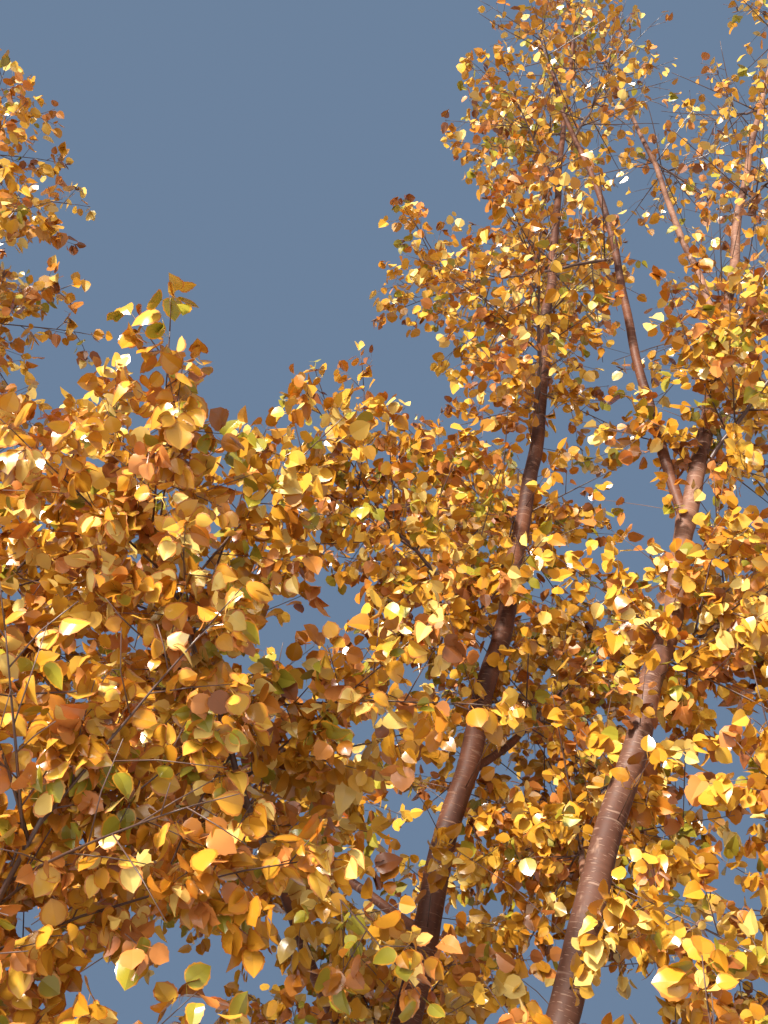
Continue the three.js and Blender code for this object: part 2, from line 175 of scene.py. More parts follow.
# %% Chance, walks and places along them
UP = Vector((0, 0, 1))
GOLDEN_SHARE, GOLDEN_ANGLE = 0.618, 137.5
STREAM_SIZE, SEED_FACTOR, STEP_FACTOR, STEP_ADDED = 2**32, 2654435761, 1664525, 1013904223
NOD_WAVES = 1.3


def chance(seed):
    """A stream of numbers from 0 to 1, the same on every run for the same seed."""
    state = (seed * SEED_FACTOR) % STREAM_SIZE

    def draw():
        nonlocal state
        state = (state * STEP_FACTOR + STEP_ADDED) % STREAM_SIZE
        return state / STREAM_SIZE

    return draw


def mix(a, b, share):
    return a + (b - a) * share


def heading_vector(heading, rise):
    h, e = math.radians(heading), math.radians(rise)
    return Vector((math.cos(e) * math.cos(h), math.cos(e) * math.sin(h), math.sin(e)))


def turned(vector, axis, angle):
    return Quaternion(axis, angle) @ vector


def walk(start, direction, length, steps, lift, sway=0.0, waves=1.0, phase=0.0):
    """The points of a limb: equal steps that turn up by lift and swing from side to side by sway."""
    heading = math.atan2(direction.y, direction.x)
    side = Vector((-math.sin(heading), math.cos(heading), 0))
    front = Vector((math.cos(heading), math.sin(heading), 0))
    aim, points, step = direction.copy(), [start.copy()], length / steps
    for i in range(steps):
        turn = (i + 0.5) / steps
        aim = (aim + UP * lift * step).normalized()
        swing = math.sin(2 * math.pi * (waves * turn + phase)) * sway
        nod = math.cos(2 * math.pi * (NOD_WAVES * waves * turn + phase)) * sway
        points.append(points[-1] + (aim + side * swing + front * nod).normalized() * step)
    return points


def along(points, share):
    """The point and the direction at a share of the way along a line."""
    place = share * (len(points) - 1)
    i = min(int(place), len(points) - 2)
    way = points[i + 1] - points[i]
    return points[i] + way * (place - i), way.normalized()


first_stream = chance(1)
print("first numbers of stream 1:", [round(first_stream(), 4) for _ in range(3)])

# %% [markdown]
# ## Stems
# Three stems lean out of one foot, and two thinner ones leave the right stem higher up. Each is a
# few plain facts: where it starts, which way it leans, how long and thick it is, and how the boughs
# and masses are dealt out round it.

# %% Grow the stems
STEM_STEP = 0.28
STEM_TAPER = 1.1
STEM_TIP_RADIUS = 0.007
FLARE, FLARE_HEIGHT = 0.6, 0.11

STEMS = [
    dict(
        name="middle_stem", foot=(0.017, 0.060, -0.060), heading=3, lean=22, lift=0.162,
        sway=0.029, waves=1.54, phase=0.13, length=6.56, foot_radius=0.041, sites=14,
        first_site=0.2, last_site=0.94, first_heading=30, fan=255, longest_bough=0.86,
    ),
    dict(
        name="right_stem", foot=(0.019, -0.055, -0.060), heading=-3, lean=24.5, lift=0.048,
        sway=0.044, waves=1, phase=0.61, length=6.0, foot_radius=0.044, sites=9,
        first_site=0.2, last_site=0.92, first_heading=-52, fan=150, longest_bough=0.82,
    ),
    dict(
        name="left_stem", foot=(-0.062, 0.005, -0.060), heading=205, lean=10, lift=0.06,
        sway=0.04, waves=1.3, phase=0.3, length=4.3, foot_radius=0.036, sites=9,
        first_site=0.24, last_site=0.92, first_heading=350, fan=-240, longest_bough=0.76,
    ),
    dict(
        name="right_inner_stem", parent="right_stem", leaves_at=0.57, heading=170, lean=2,
        lift=0.1, sway=0.05, waves=0.9, phase=0.1, length=2.25, foot_radius=0.014, sites=2,
        first_site=0.45, last_site=0.78, first_heading=160, fan=360, longest_bough=0,
    ),
    dict(
        name="right_back_stem", parent="right_stem", leaves_at=0.7, heading=90, lean=8,
        lift=0.12, sway=0.05, waves=0.8, phase=0.4, length=1.9, foot_radius=0.012, sites=1,
        first_site=0.6, last_site=0.6, first_heading=60, fan=360, longest_bough=0,
    ),
]


def grow_stem(stem, limbs):
    if "parent" in stem:
        start = along(limbs[stem["parent"]]["points"], stem["leaves_at"])[0]
    else:
        start = Vector(stem["foot"])
    direction = heading_vector(stem["heading"], 90 - stem["lean"])
    bends = {k: stem[k] for k in ("lift", "sway", "waves", "phase")}
    steps = round(stem["length"] / STEM_STEP)
    points = walk(start, direction, stem["length"], steps, **bends)

    def radius_at(share):
        flare = 0 if "parent" in stem else FLARE * math.exp(-share * stem["length"] / FLARE_HEIGHT)
        return mix(STEM_TIP_RADIUS, stem["foot_radius"], (1 - share) ** STEM_TAPER) * (1 + flare)

    return {**stem, "points": points, "radius_at": radius_at}


limbs = {}
for stem in STEMS:
    limbs[stem["name"]] = grow_stem(stem, limbs)
    top = limbs[stem["name"]]["points"][-1]
    print(stem["name"], "reaches", [round(v, 2) for v in top])

# %% [markdown]
# ## Boughs and masses
# Sites follow one another up a stem. They could be spaced by hand, but the golden share spreads them
# evenly over the stem's fan, as buds do. A low site has a bough with a mass of foliage at its tip,
# and a high one has only the mass.

# %% Grow the boughs and place the masses
SITE_CROWDING = 1.25
BOUGH_LEVELS = 0.62
LOW_RISE, HIGH_RISE = 15, 62
HEADING_STRAY, RISE_STRAY = 24, 16
BOUGH_STEPS = 4
BOUGH_TIP_RADIUS, LEAST_TAPER = 0.0085, 0.001
BOUGH_RADIUS_SHARE = 0.42
BOUGH_LENGTHS = (0.88, 1.12)
BOUGH_BEND = dict(lift=0.2, sway=0.06, waves=1.2)
SHORTEST_BOUGH = 0.26


def grow_bough(stem, number, start, direction, length, phase, site):
    radius = max(BOUGH_RADIUS_SHARE * stem["radius_at"](site), BOUGH_TIP_RADIUS + LEAST_TAPER)
    return dict(
        name=f"{stem['name'].replace('_stem', '')}_bough_{number}",
        parent=stem["name"],
        length=length,
        points=walk(start, direction, length, BOUGH_STEPS, phase=phase, **BOUGH_BEND),
        radius_at=lambda share: mix(radius, BOUGH_TIP_RADIUS, share),
    )


masses = []
for stem in list(limbs.values()):
    for i in range(stem["sites"]):
        draw = chance(len(masses) + 1)
        level = i / (stem["sites"] - 1) if stem["sites"] > 1 else 0.5
        site = mix(stem["first_site"], stem["last_site"], level**SITE_CROWDING)
        start = along(stem["points"], site)[0]
        turn = stem["fan"] * ((i * GOLDEN_SHARE) % 1)
        heading = stem["first_heading"] + turn + (draw() - 0.5) * HEADING_STRAY
        direction = heading_vector(heading, mix(LOW_RISE, HIGH_RISE, level) + (draw() - 0.5) * RISE_STRAY)
        length = stem["longest_bough"] * (1 - level / BOUGH_LEVELS) * mix(*BOUGH_LENGTHS, draw())
        carrier = stem["name"]
        if length >= SHORTEST_BOUGH:
            bough = grow_bough(stem, i + 1, start, direction, length, draw(), site)
            limbs[bough["name"]] = bough
            start, direction = along(bough["points"], 1)
            carrier = bough["name"]
        masses.append(dict(start=start, direction=direction, carrier=carrier))
    start, direction = along(stem["points"], 1)
    masses.append(dict(start=start, direction=direction, carrier=stem["name"]))
footed_stems = [limb for limb in limbs.values() if "foot" in limb]
print("limbs:", len(limbs), "masses:", len(masses))

# %% [markdown]
# ## Each mass keeps to its own space
# A mass grows round one main twig, which turns aside where it would meet a limb. The space round it
# could be a plain capsule, but capsules overlap. So a point belongs to the mass whose main twig is
# nearest for its reach, and a twig or leaf that leaves that space isn't grown.

# %% Grow the main twigs and measure the spaces
CROWN_FOOT, CROWN_TOP, TOP_SHRINK = 1.4, 6.7, 0.5
SPACE_MARGIN, LIMB_MARGIN = 0.007, 0.009
BOX_ROOM = 0.01
MAIN_TWIG_LENGTH, MAIN_TWIG_STEPS, TWIG_LIFT = 0.68, 3, 0.06
MAIN_TWIG_TURNS = (0, 18, -18, 36, -36, 54, -54)
MAIN_TWIG_TESTS = (0.2, 0.3, 0.4, 0.5, 0.6, 0.7, 0.8, 0.9, 1)
SIDE_TWIG_LENGTH = 0.38
SPRAY_LENGTH = 0.24
SPRAY_REACH_SHARE = 0.4


def distance_to_segment(point, a, b):
    span = b - a
    share = min(max((point - a).dot(span) / span.length_squared, 0), 1)
    return (point - a - span * share).length


def is_near_limb(point, limb, margin):
    last = len(limb["points"]) - 1
    for i in range(last):
        room = limb["radius_at"](i / last) + margin
        if distance_to_segment(point, limb["points"][i], limb["points"][i + 1]) < room:
            return True
    return False


def grow_main_twig(mass, index):
    """Gives a mass its size, reach and main twig, turned aside where it would meet a limb."""
    height = min(max((mass["start"].z - CROWN_FOOT) / (CROWN_TOP - CROWN_FOOT), 0), 1)
    mass["height"] = height
    mass["name"] = f"foliage_{index + 1:02d}"
    mass["size"] = 1 - TOP_SHRINK * height
    mass["reach"] = (SIDE_TWIG_LENGTH + SPRAY_REACH_SHARE * SPRAY_LENGTH) * mass["size"]
    others = [limb for limb in limbs.values() if limb["name"] != mass["carrier"]]
    for turn in MAIN_TWIG_TURNS:
        direction = turned(mass["direction"], UP, math.radians(turn))
        length = MAIN_TWIG_LENGTH * mass["size"]
        mass["points"] = walk(mass["start"], direction, length, MAIN_TWIG_STEPS, TWIG_LIFT)
        tests = [along(mass["points"], share)[0] for share in MAIN_TWIG_TESTS]
        if not any(is_near_limb(p, limb, 2 * LIMB_MARGIN) for p in tests for limb in others):
            break


for index, mass in enumerate(masses):
    grow_main_twig(mass, index)
    low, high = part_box(mass["name"])
    middle = along(mass["points"], 0.5)[0]
    if not all(a - BOX_ROOM <= v <= b + BOX_ROOM for a, v, b in zip(low, middle, high)):
        print("the main twig of", mass["name"], "leaves its box")
print("sizes of the masses from", round(min(m["size"] for m in masses), 2), "to 1")

# %% [markdown]
# ## Testing many points at once
# Tens of thousands of leaves are tested against every main twig and every limb. A loop over pairs
# would take minutes, so the lines are kept as arrays and one call measures all points together.

# %% Arrays of the lines, and the tests
def as_array(lines):
    """Lines of the same number of points as one array."""
    return np.array([[list(point) for point in line] for line in lines])


def distances(points, starts, ends):
    """Distance of every point to every segment, as an array of points by segments."""
    spans = ends - starts
    offsets = points[:, None] - starts[None]
    shares = np.einsum("psk,sk->ps", offsets, spans) / np.einsum("sk,sk->s", spans, spans)
    gaps = offsets - np.clip(shares, 0, 1)[..., None] * spans[None]
    return np.sqrt(np.einsum("psk,psk->ps", gaps, gaps))


def gaps_past_reach(points):
    """How far each point lies past the reach of every mass, measured from its main twig."""
    starts = MASS_LINES[:, :-1].reshape(-1, 3)
    ends = MASS_LINES[:, 1:].reshape(-1, 3)
    away = distances(points, starts, ends).reshape(len(points), len(masses), MAIN_TWIG_STEPS).min(2)
    return away - REACHES


def depth_in_space(points, owners):
    """Each point's distance from its own main twig, and how much nearer that is than any other space."""
    past = gaps_past_reach(points)
    mine = (np.arange(len(points)), owners)
    own = past[mine] + REACHES[owners]
    past[mine] = np.inf
    return own, past.min(1) - (own - REACHES[owners])


def clearance_to_limbs(points):
    return (distances(points, LIMB_STARTS, LIMB_ENDS) - LIMB_RADII).min(1)


MASS_LINES = as_array(m["points"] for m in masses)
REACHES = np.array([m["reach"] for m in masses])
segments = []
for limb in limbs.values():
    last = len(limb["points"]) - 1
    for i in range(last):
        segments.append([*limb["points"][i], *limb["points"][i + 1], limb["radius_at"](i / last)])
LIMB_STARTS, LIMB_ENDS, LIMB_RADII = np.split(np.array(segments), (3, 6), axis=1)
LIMB_RADII = LIMB_RADII[:, 0]
print("lines:", MASS_LINES.shape, "limb segments:", len(LIMB_RADII))

# %% [markdown]
# ## Twigs of a mass
# The side twigs turn round the main twig by the golden angle, as in the plain model. The real tree
# has many more and finer ones, so others grow between them, and fine twigs grow on all of these and
# on the stems. A tangle drawn at random would be quicker, but this way each keeps to its mass's
# space, and one whose tip would leave it or touch a limb is left out.

# %% Grow the side twigs and the fine twigs
SIDE_TWIGS = 7
SIDE_TWIG_SITES, SIDE_TWIG_SPREADS = (0.1, 0.93), (68, 36)
SPREAD_STRAY = 16
LAST_TWIG_SHARE = 0.6
SIDE_TWIG_LENGTHS = (0.85, 1.1)
TWIGS_BETWEEN, BETWEEN_SITES = (17, 5), (0.03, 1)
BETWEEN_SPREADS = (112, 32)
BETWEEN_SHARES, BETWEEN_LENGTHS = (0.98, 0.7), (0.75, 1.3)
TWIG_IN_SPRAY = 0.45
FINE_TWIG_SPACING = (0.034, 0.055)
FEWEST_FINE_TWIGS, FIRST_FINE_TWIG = 2, 0.7
FINE_TWIG_LENGTHS, FINE_TWIG_STRAY = (0.2, 0.08), (0.55, 1.15)
FINE_SPREAD, FINE_STRAY = 52, 26
END_TWIG_LENGTH = 0.06
STEM_TWIG_SPACING, STEM_TWIG_LENGTHS = 0.055, (0.14, 0.36)
STEM_TWIG_SHARES, STEM_TWIG_ONWARD = (0.16, 0.9), 0.6
LEAF_REACH = 1.25
BEND_MIDDLE = 0.35
SIDE_STREAM, BETWEEN_STREAM, FINE_STREAM, STEM_STREAM = 1000, 3000, 4000, 6000
# A twig's form is its number of points, how much it sinks, and how much it bends.
SIDE_FORM, FINE_FORM = (7, 0.2, 0.16), (3, 1.4, 0.3)
END_FORM, STEM_TWIG_FORM = (3, 0.5, 0.2), (3, 1, 0.3)


def any_way(draw):
    return Vector((draw() - 0.5, draw() - 0.5, draw() - 0.5))


def bent_line(root, direction, length, form, draw):
    """A short twig's line: it sinks a little with its own weight and wavers."""
    points, droop, bend = form
    axis = any_way(draw).normalized()
    line, aim = [root.copy()], direction.normalized()
    for _ in range(points - 1):
        aim = (aim - UP * droop * length / (points - 1)).normalized()
        aim = turned(aim, axis, (draw() - BEND_MIDDLE) * bend)
        line.append(line[-1] + aim * length / (points - 1))
    return line


def aside(onward, across, turn, spread):
    """A direction that leaves a line by the angle spread, on the side that turn gives."""
    across = turned(across.normalized(), onward, turn)
    return onward * math.cos(spread) + across * math.sin(spread)


def side_twigs_of(mass, index):
    """The plain model's side twigs: their roots, directions and lengths."""
    draw = chance(SIDE_STREAM + index)
    first_turn = draw() * 360
    twigs = []
    for i in range(SIDE_TWIGS):
        level = i / (SIDE_TWIGS - 1)
        root, onward = along(mass["points"], mix(*SIDE_TWIG_SITES, level))
        spread = math.radians(mix(*SIDE_TWIG_SPREADS, level) + (draw() - 0.5) * SPREAD_STRAY)
        way = aside(onward, onward.cross(UP), math.radians(first_turn + i * GOLDEN_ANGLE), spread)
        full = SIDE_TWIG_LENGTH * mass["size"] * mix(1, LAST_TWIG_SHARE, level)
        twigs.append((root, way, full * mix(*SIDE_TWIG_LENGTHS, draw())))
    return twigs


def twigs_between(mass, index):
    """The twigs between those: more of them low in the crown than at its top."""
    draw = chance(BETWEEN_STREAM + index)
    first_turn = draw() * 360
    twigs = []
    count = round(mix(*TWIGS_BETWEEN, mass["height"]))
    for i in range(count):
        level = (i + 0.5) / count
        root, onward = along(mass["points"], mix(*BETWEEN_SITES, level))
        spread = math.radians(mix(*BETWEEN_SPREADS, level) + (draw() - 0.5) * 2 * SPREAD_STRAY)
        way = aside(onward, onward.cross(UP), math.radians(first_turn - i * GOLDEN_ANGLE), spread)
        full = mass["reach"] * mix(*BETWEEN_SHARES, level) - TWIG_IN_SPRAY * SPRAY_LENGTH * mass["size"]
        twigs.append((root, way, full * mix(*BETWEEN_LENGTHS, draw())))
    return twigs


def fine_twigs_on(line, length, mass, draw):
    """The fine twigs all along a twig, and one that carries on its end."""
    twigs = []
    count = max(FEWEST_FINE_TWIGS, round(length / mix(*FINE_TWIG_SPACING, mass["height"])))
    for k in range(count):
        share = (k + FIRST_FINE_TWIG) / count
        start, onward = along(line, share)
        spread = math.radians(FINE_SPREAD + (draw() - 0.5) * FINE_STRAY)
        way = aside(onward, onward.orthogonal(), math.radians(k * GOLDEN_ANGLE) + draw(), spread)
        full = mix(*FINE_TWIG_LENGTHS, share) * mix(*FINE_TWIG_STRAY, draw())
        twigs.append(bent_line(start, way, full * mix(1, mass["size"], 0.5), FINE_FORM, draw))
    twigs.append(bent_line(line[-1], along(line, 1)[1], END_TWIG_LENGTH, END_FORM, draw))
    return twigs


def twigs_on_stem(stem, draw):
    """Twigs that stand on a stem and reach a mass, each with that mass's number."""
    twigs = []
    count = round(stem["length"] / STEM_TWIG_SPACING)
    for k in range(count):
        start, onward = along(stem["points"], mix(*STEM_TWIG_SHARES, (k + draw()) / count))
        across = turned(onward.orthogonal().normalized(), onward, math.radians(k * GOLDEN_ANGLE))
        length = mix(*STEM_TWIG_LENGTHS, draw())
        line = bent_line(start, across + STEM_TWIG_ONWARD * onward, length, STEM_TWIG_FORM, draw)
        past = gaps_past_reach(np.array([list(line[-1])]))[0]
        owner = int(past.argmin())
        if past[owner] < (LEAF_REACH - 1) * REACHES[owner]:
            twigs.append((line, owner))
    return twigs


def in_box(points, room=0.0):
    """Whether each point is inside the plain model's box, made larger by room."""
    low, high = np.array(plain_box)
    points = np.atleast_2d(points)
    return np.all((points > low - room) & (points < high + room), axis=1)


side_lines, fine_twigs = [], []
for index, mass in enumerate(masses):
    draw = chance(FINE_STREAM + index)
    spray = SPRAY_LENGTH * mass["size"]
    for root, way, stalk in side_twigs_of(mass, index) + twigs_between(mass, index):
        length = stalk + TWIG_IN_SPRAY * spray
        line = bent_line(root, way, length, SIDE_FORM, draw)
        if in_box(line[-1]):
            side_lines.append(line)
            fine_twigs += [(twig, index) for twig in fine_twigs_on(line, length, mass, draw)]
for index, stem in enumerate(footed_stems):
    fine_twigs += twigs_on_stem(stem, chance(STEM_STREAM + index))
side_lines = as_array(side_lines)
fine_lines = as_array(line for line, _ in fine_twigs)
fine_owners = np.array([owner for _, owner in fine_twigs])
tips = fine_lines[:, -1]
kept = (depth_in_space(tips, fine_owners)[1] > 2 * SPACE_MARGIN) & in_box(tips)
kept &= clearance_to_limbs(tips) > LIMB_MARGIN
fine_lines, fine_owners = fine_lines[kept], fine_owners[kept]
print("side twigs:", len(side_lines), "fine twigs:", len(fine_lines), "left out:", int((~kept).sum()))

# %% [markdown]
# ## Leaves on short shoots
# A birch carries most of its leaves on short shoots, two to four together, each blade hanging from
# a thin stalk. Each shoot is a spray: its leaves share a tint, and they hang down and outwards with
# their upper faces turned to the light, none quite like the next. Leaves that would leave their
# mass's space, touch a limb, or hang right before the eye are left out, as are many in the thin
# upper right of the crown and before the middle stem, which the photograph shows.

# %% Deal out the leaves
SHOOT_SPACING, FEWEST_SHOOTS, FIRST_SHOOT = (0.0112, 0.05), 2, 0.9
LEAVES_ON_SHOOT = (2, 2, 3, 4)
LEAF_LENGTHS, LENGTH_STRAY, LENGTH_LIMITS = (0.028, 0.032), 0.2, (0.55, 1.45)
STALK_LENGTH, STALK_STRAY = 0.016, (0.7, 1.25)
STALK_OUT, STALK_ONWARD, STALK_SAG = 0.7, 0.5, np.array((0, 0, -0.15))
LEAF_ONWARD, LEAF_STRAY, LEAF_SAG = 0.75, 0.45, np.array((0, 0, -0.55))
FACE_OUT, FACE_STRAY, LIGHT_WAY = 0.5, 0.8, np.array((-0.1, -0.2, 0.6))
BARE_TOP_HEIGHT, BARE_TOP_LOSS = 0.45, 0.66
OPEN_STEM_HEIGHTS, OPEN_STEM_LOSS = (3.0, 5.7), 0.8
SIGHT_WIDTH, SIGHT_SHARES = 0.045, (0, 0.25, 0.5, 0.75)
LEAF_FREE_OF_LIMBS, LEAF_FREE_OF_EYE = 0.012, 1.3
LEAF_STREAM = 11
EYE_SPOT = np.array(EYE)
TINTS = {
    "straw": dict(share=0.11, color=(0.8, 0.55, 0.15), slot="yellow_leaf", rim="orange"),
    "yellow": dict(share=0.21, color=(0.73, 0.41, 0.05), slot="yellow_leaf", rim="orange"),
    "gold": dict(share=0.21, color=(0.64, 0.3, 0.026), slot="gold_leaf", rim="amber"),
    "deep_gold": dict(share=0.16, color=(0.52, 0.225, 0.017), slot="gold_leaf", rim="amber"),
    "amber": dict(share=0.11, color=(0.5, 0.175, 0.018), slot="amber_leaf"),
    "orange": dict(share=0.08, color=(0.62, 0.23, 0.055), slot="amber_leaf"),
    "russet": dict(share=0.04, color=(0.26, 0.08, 0.02), slot="russet_leaf"),
    "green_gold": dict(share=0.08, color=(0.36, 0.3, 0.03), slot="green_gold_leaf", rim="gold"),
}


def unit(vectors):
    return vectors / np.maximum(np.linalg.norm(vectors, axis=-1, keepdims=True), 1e-9)


def points_along(lines, rows, shares):
    """Points and directions at shares of the way along many lines of the same number of points."""
    places = shares * (lines.shape[1] - 1)
    i = np.minimum(places.astype(int), lines.shape[1] - 2)
    way = lines[rows, i + 1] - lines[rows, i]
    return lines[rows, i] + way * (places - i)[:, None], unit(way)


def hides_stem(points):
    """Whether a leaf at each point would hide the middle stem's upper part from the eye."""
    stem = as_array([limbs["middle_stem"]["points"]])[0]
    stem = stem[(stem[:, 2] > OPEN_STEM_HEIGHTS[0]) & (stem[:, 2] < OPEN_STEM_HEIGHTS[1])]
    away = points - EYE_SPOT
    gaps = np.linalg.norm(away, axis=1)
    sight = unit(away)
    hidden = np.zeros(len(points), bool)
    for a, b in zip(stem[:-1], stem[1:]):
        for share in SIGHT_SHARES:
            spot = a + (b - a) * share - EYE_SPOT
            far = np.linalg.norm(spot)
            miss = np.linalg.norm(sight * far - spot, axis=1)
            hidden |= (miss < SIGHT_WIDTH) & (gaps < far)
    return hidden


leaf_chance = np.random.default_rng(LEAF_STREAM)
heights = np.array([m["height"] for m in masses])
fine_lengths = np.linalg.norm(np.diff(fine_lines, axis=1), axis=2).sum(1)
spacings = mix(*SHOOT_SPACING, heights[fine_owners])
counts = np.maximum(FEWEST_SHOOTS, np.round(fine_lengths / spacings).astype(int))
shoot_twig = np.repeat(np.arange(len(fine_lines)), counts)
shoot_rank = np.concatenate([np.arange(c) for c in counts])
shoot_share = np.minimum((shoot_rank + FIRST_SHOOT) / counts[shoot_twig], 1.0)
shoot_points, shoot_ways = points_along(fine_lines, shoot_twig, shoot_share)
shoot_leaves = leaf_chance.choice(LEAVES_ON_SHOOT, len(shoot_points))
tint_ends = np.cumsum([tint["share"] for tint in TINTS.values()])
shoot_tint = np.searchsorted(tint_ends, leaf_chance.random(len(shoot_twig)))
shoot_tint = np.minimum(shoot_tint, len(TINTS) - 1)

rows = np.repeat(np.arange(len(shoot_points)), shoot_leaves)
count = len(rows)
around = unit(np.cross(shoot_ways[rows], leaf_chance.normal(size=(count, 3))))
stalk_ways = unit(STALK_OUT * around + STALK_ONWARD * shoot_ways[rows] + STALK_SAG)
stalk_lengths = STALK_LENGTH * leaf_chance.uniform(*STALK_STRAY, count)
leaf_roots = shoot_points[rows] + stalk_ways * stalk_lengths[:, None]
leaf_stray = LEAF_STRAY * leaf_chance.normal(size=(count, 3))
leaf_ways = unit(LEAF_ONWARD * stalk_ways + LEAF_SAG + leaf_stray)
outward = unit(leaf_roots - np.array(CROWN_MIDDLE))
facing = FACE_OUT * outward + LIGHT_WAY + FACE_STRAY * leaf_chance.normal(size=(count, 3))
leaf_sides = unit(np.cross(facing, leaf_ways))
leaf_faces = unit(np.cross(leaf_ways, leaf_sides))
leaf_tints = shoot_tint[rows]
leaf_owners = fine_owners[shoot_twig[rows]]
leaf_lengths = np.clip(leaf_chance.normal(1, LENGTH_STRAY, count), *LENGTH_LIMITS)
leaf_lengths = mix(*LEAF_LENGTHS, heights[leaf_owners]) * leaf_lengths

middles = leaf_roots + leaf_ways * (0.5 * leaf_lengths)[:, None]
own, spare = depth_in_space(middles, leaf_owners)
kept = (spare > SPACE_MARGIN) & (clearance_to_limbs(middles) > LEAF_FREE_OF_LIMBS)
kept &= own < REACHES[leaf_owners] * LEAF_REACH
thin_top = np.array([m["carrier"].startswith("right") for m in masses]) & (heights > BARE_TOP_HEIGHT)
kept &= ~thin_top[leaf_owners] | (leaf_chance.random(count) > BARE_TOP_LOSS)
kept &= ~hides_stem(middles) | (leaf_chance.random(count) > OPEN_STEM_LOSS)
eye_gap = np.linalg.norm(middles - EYE_SPOT, axis=1)
kept &= eye_gap > LEAF_FREE_OF_EYE
kept &= in_box(leaf_roots + leaf_ways * leaf_lengths[:, None], BOX_ROOM)
print("shoots:", len(shoot_points), "leaves:", int(kept.sum()), "left out:", int((~kept).sum()))
for k, tint in enumerate(TINTS):
    print("  ", tint, int((leaf_tints[kept] == k).sum()))

# %% [markdown]
# ## One leaf
# The blade is broad at a third of its length, with a rounded root, a drawn-out tip and coarse teeth.
# It could be a textured square, but an opaque outline of a few faces keeps its edge in any light.
# The midrib is a sharp crease between two smooth halves, and bending the flat points gives each leaf
# its own fold, curl and droop. Only leaves close to the eye have teeth: the rest don't show them.

# %% The leaf's outline and faces
TOOTHED = dict(
    rib=((0.0, 0), (0.3, 0), (0.62, 0), (1.0, 0)),
    inner=((0.11, 0.28), (0.32, 0.4), (0.56, 0.38), (0.78, 0.24)),
    edge=(
        (0.02, 0.19), (0.12, 0.37), (0.21, 0.44), (0.25, 0.43), (0.39, 0.495),
        (0.43, 0.46), (0.58, 0.465), (0.62, 0.41), (0.77, 0.35), (0.82, 0.25),
    ),
)
SIMPLE = dict(
    rib=((0.0, 0), (0.5, 0), (1.0, 0)),
    inner=(),
    edge=((0.05, 0.27), (0.24, 0.45), (0.54, 0.46), (0.8, 0.29)),
)
DISTANT = dict(rib=((0.0, 0), (1.0, 0)), inner=(), edge=((0.09, 0.33), (0.42, 0.48), (0.78, 0.31)))


def strip(a, b, x):
    """Triangles between two rows of points that both run the leaf's length."""
    faces, i, j = [], 0, 0
    while i < len(a) - 1 or j < len(b) - 1:
        if j == len(b) - 1 or (i < len(a) - 1 and x[a[i + 1]] <= x[b[j + 1]]):
            faces.append((a[i], b[j], a[i + 1]))
            i += 1
        else:
            faces.append((a[i], b[j], b[j + 1]))
            j += 1
    return [face for face in faces if len(set(face)) == 3]


def leaf_plan(outline):
    """The leaf's flat points, its triangles with the stalk's last, and which of them are the rim."""
    rib, inner, edge = (list(outline[part]) for part in ("rib", "inner", "edge"))
    flat = np.array(rib + inner + edge + [(x, -y) for x, y in inner + edge], float)
    x, last = flat[:, 0], len(rib) - 1
    faces, rims = [], []
    for side in (0, 1):
        first = len(rib) + side * (len(inner) + len(edge))
        inner_row = [0, *range(first, first + len(inner)), last]
        edge_row = [0, *range(first + len(inner), first + len(inner) + len(edge)), last]
        middle = strip(list(range(len(rib))), inner_row if inner else edge_row, x)
        rim = strip(inner_row, edge_row, x) if inner else []
        faces += [face if side else face[::-1] for face in middle + rim]
        rims += [False] * len(middle) + [True] * len(rim)
    faces.append((0, len(flat), len(flat) + 1))
    return flat, np.array(faces), np.array(rims + [False])


for name, outline in (("toothed", TOOTHED), ("simple", SIMPLE), ("distant", DISTANT)):
    flat, faces, rims = leaf_plan(outline)
    print(name, "leaf:", len(flat), "points,", len(faces), "triangles, of them the rim", int(rims.sum()))

# %% [markdown]
# ## Autumn tints
# Every spray has one tint, from straw and gold to amber, orange and green-gold. A picture of the
# colours would blur on so many small faces, so each tint is a plain waxy finish of its own, and all
# leaves of a tint are one joined mesh. The toothed leaves of some tints have a rim in a second one.

# %% Finish and join the leaves
LEAF_ROUGHNESS, LEAF_GLOSS = 0.24, 0.65
FOLDS, CUPS, RIPPLES, WIDTHS = (0.0, 0.6), (-0.3, 1.1), (-0.05, 0.05), (0.88, 1.12)
CURL, CURL_STRAY, RIPPLE_WAVES = 0.25, 0.28, 7
TOOTHED_WITHIN, SIMPLE_WITHIN = 1.6, 2.3
VIEW_REACH, VIEW_ASPECT = 0.55, 0.75
STALK_WIDTH = 0.0013
SHAPE_STREAM, STREAMS_PER_LEVEL = 50, 20
ALL_MASSES = [mass["name"] for mass in masses]


def mesh_of(name, points, faces):
    """A smooth mesh from an array of points and an array of triangles or quads."""
    mesh = bpy.data.meshes.new(name)
    mesh.vertices.add(len(points))
    mesh.vertices.foreach_set("co", points.astype(np.float32).ravel())
    sides = faces.shape[1]
    mesh.loops.add(faces.size)
    mesh.loops.foreach_set("vertex_index", faces.astype(np.int32).ravel())
    mesh.polygons.add(len(faces))
    mesh.polygons.foreach_set("loop_start", np.arange(0, faces.size, sides, dtype=np.int32))
    mesh.polygons.foreach_set("use_smooth", np.full(len(faces), True))
    mesh.update(calc_edges=True)
    return mesh


def add_piece(name, mesh, material, nodes):
    mesh.materials.append(material)
    piece = bpy.data.objects.new(name, mesh)
    bpy.context.scene.collection.objects.link(piece)
    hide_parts(*nodes)
    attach(piece, "root")


def joined(parts):
    """Several (points, faces) pairs as one."""
    firsts = np.cumsum([0] + [len(points) for points, _ in parts])
    faces = [faces + first for (_, faces), first in zip(parts, firsts)]
    return np.concatenate([points for points, _ in parts]), np.concatenate(faces)


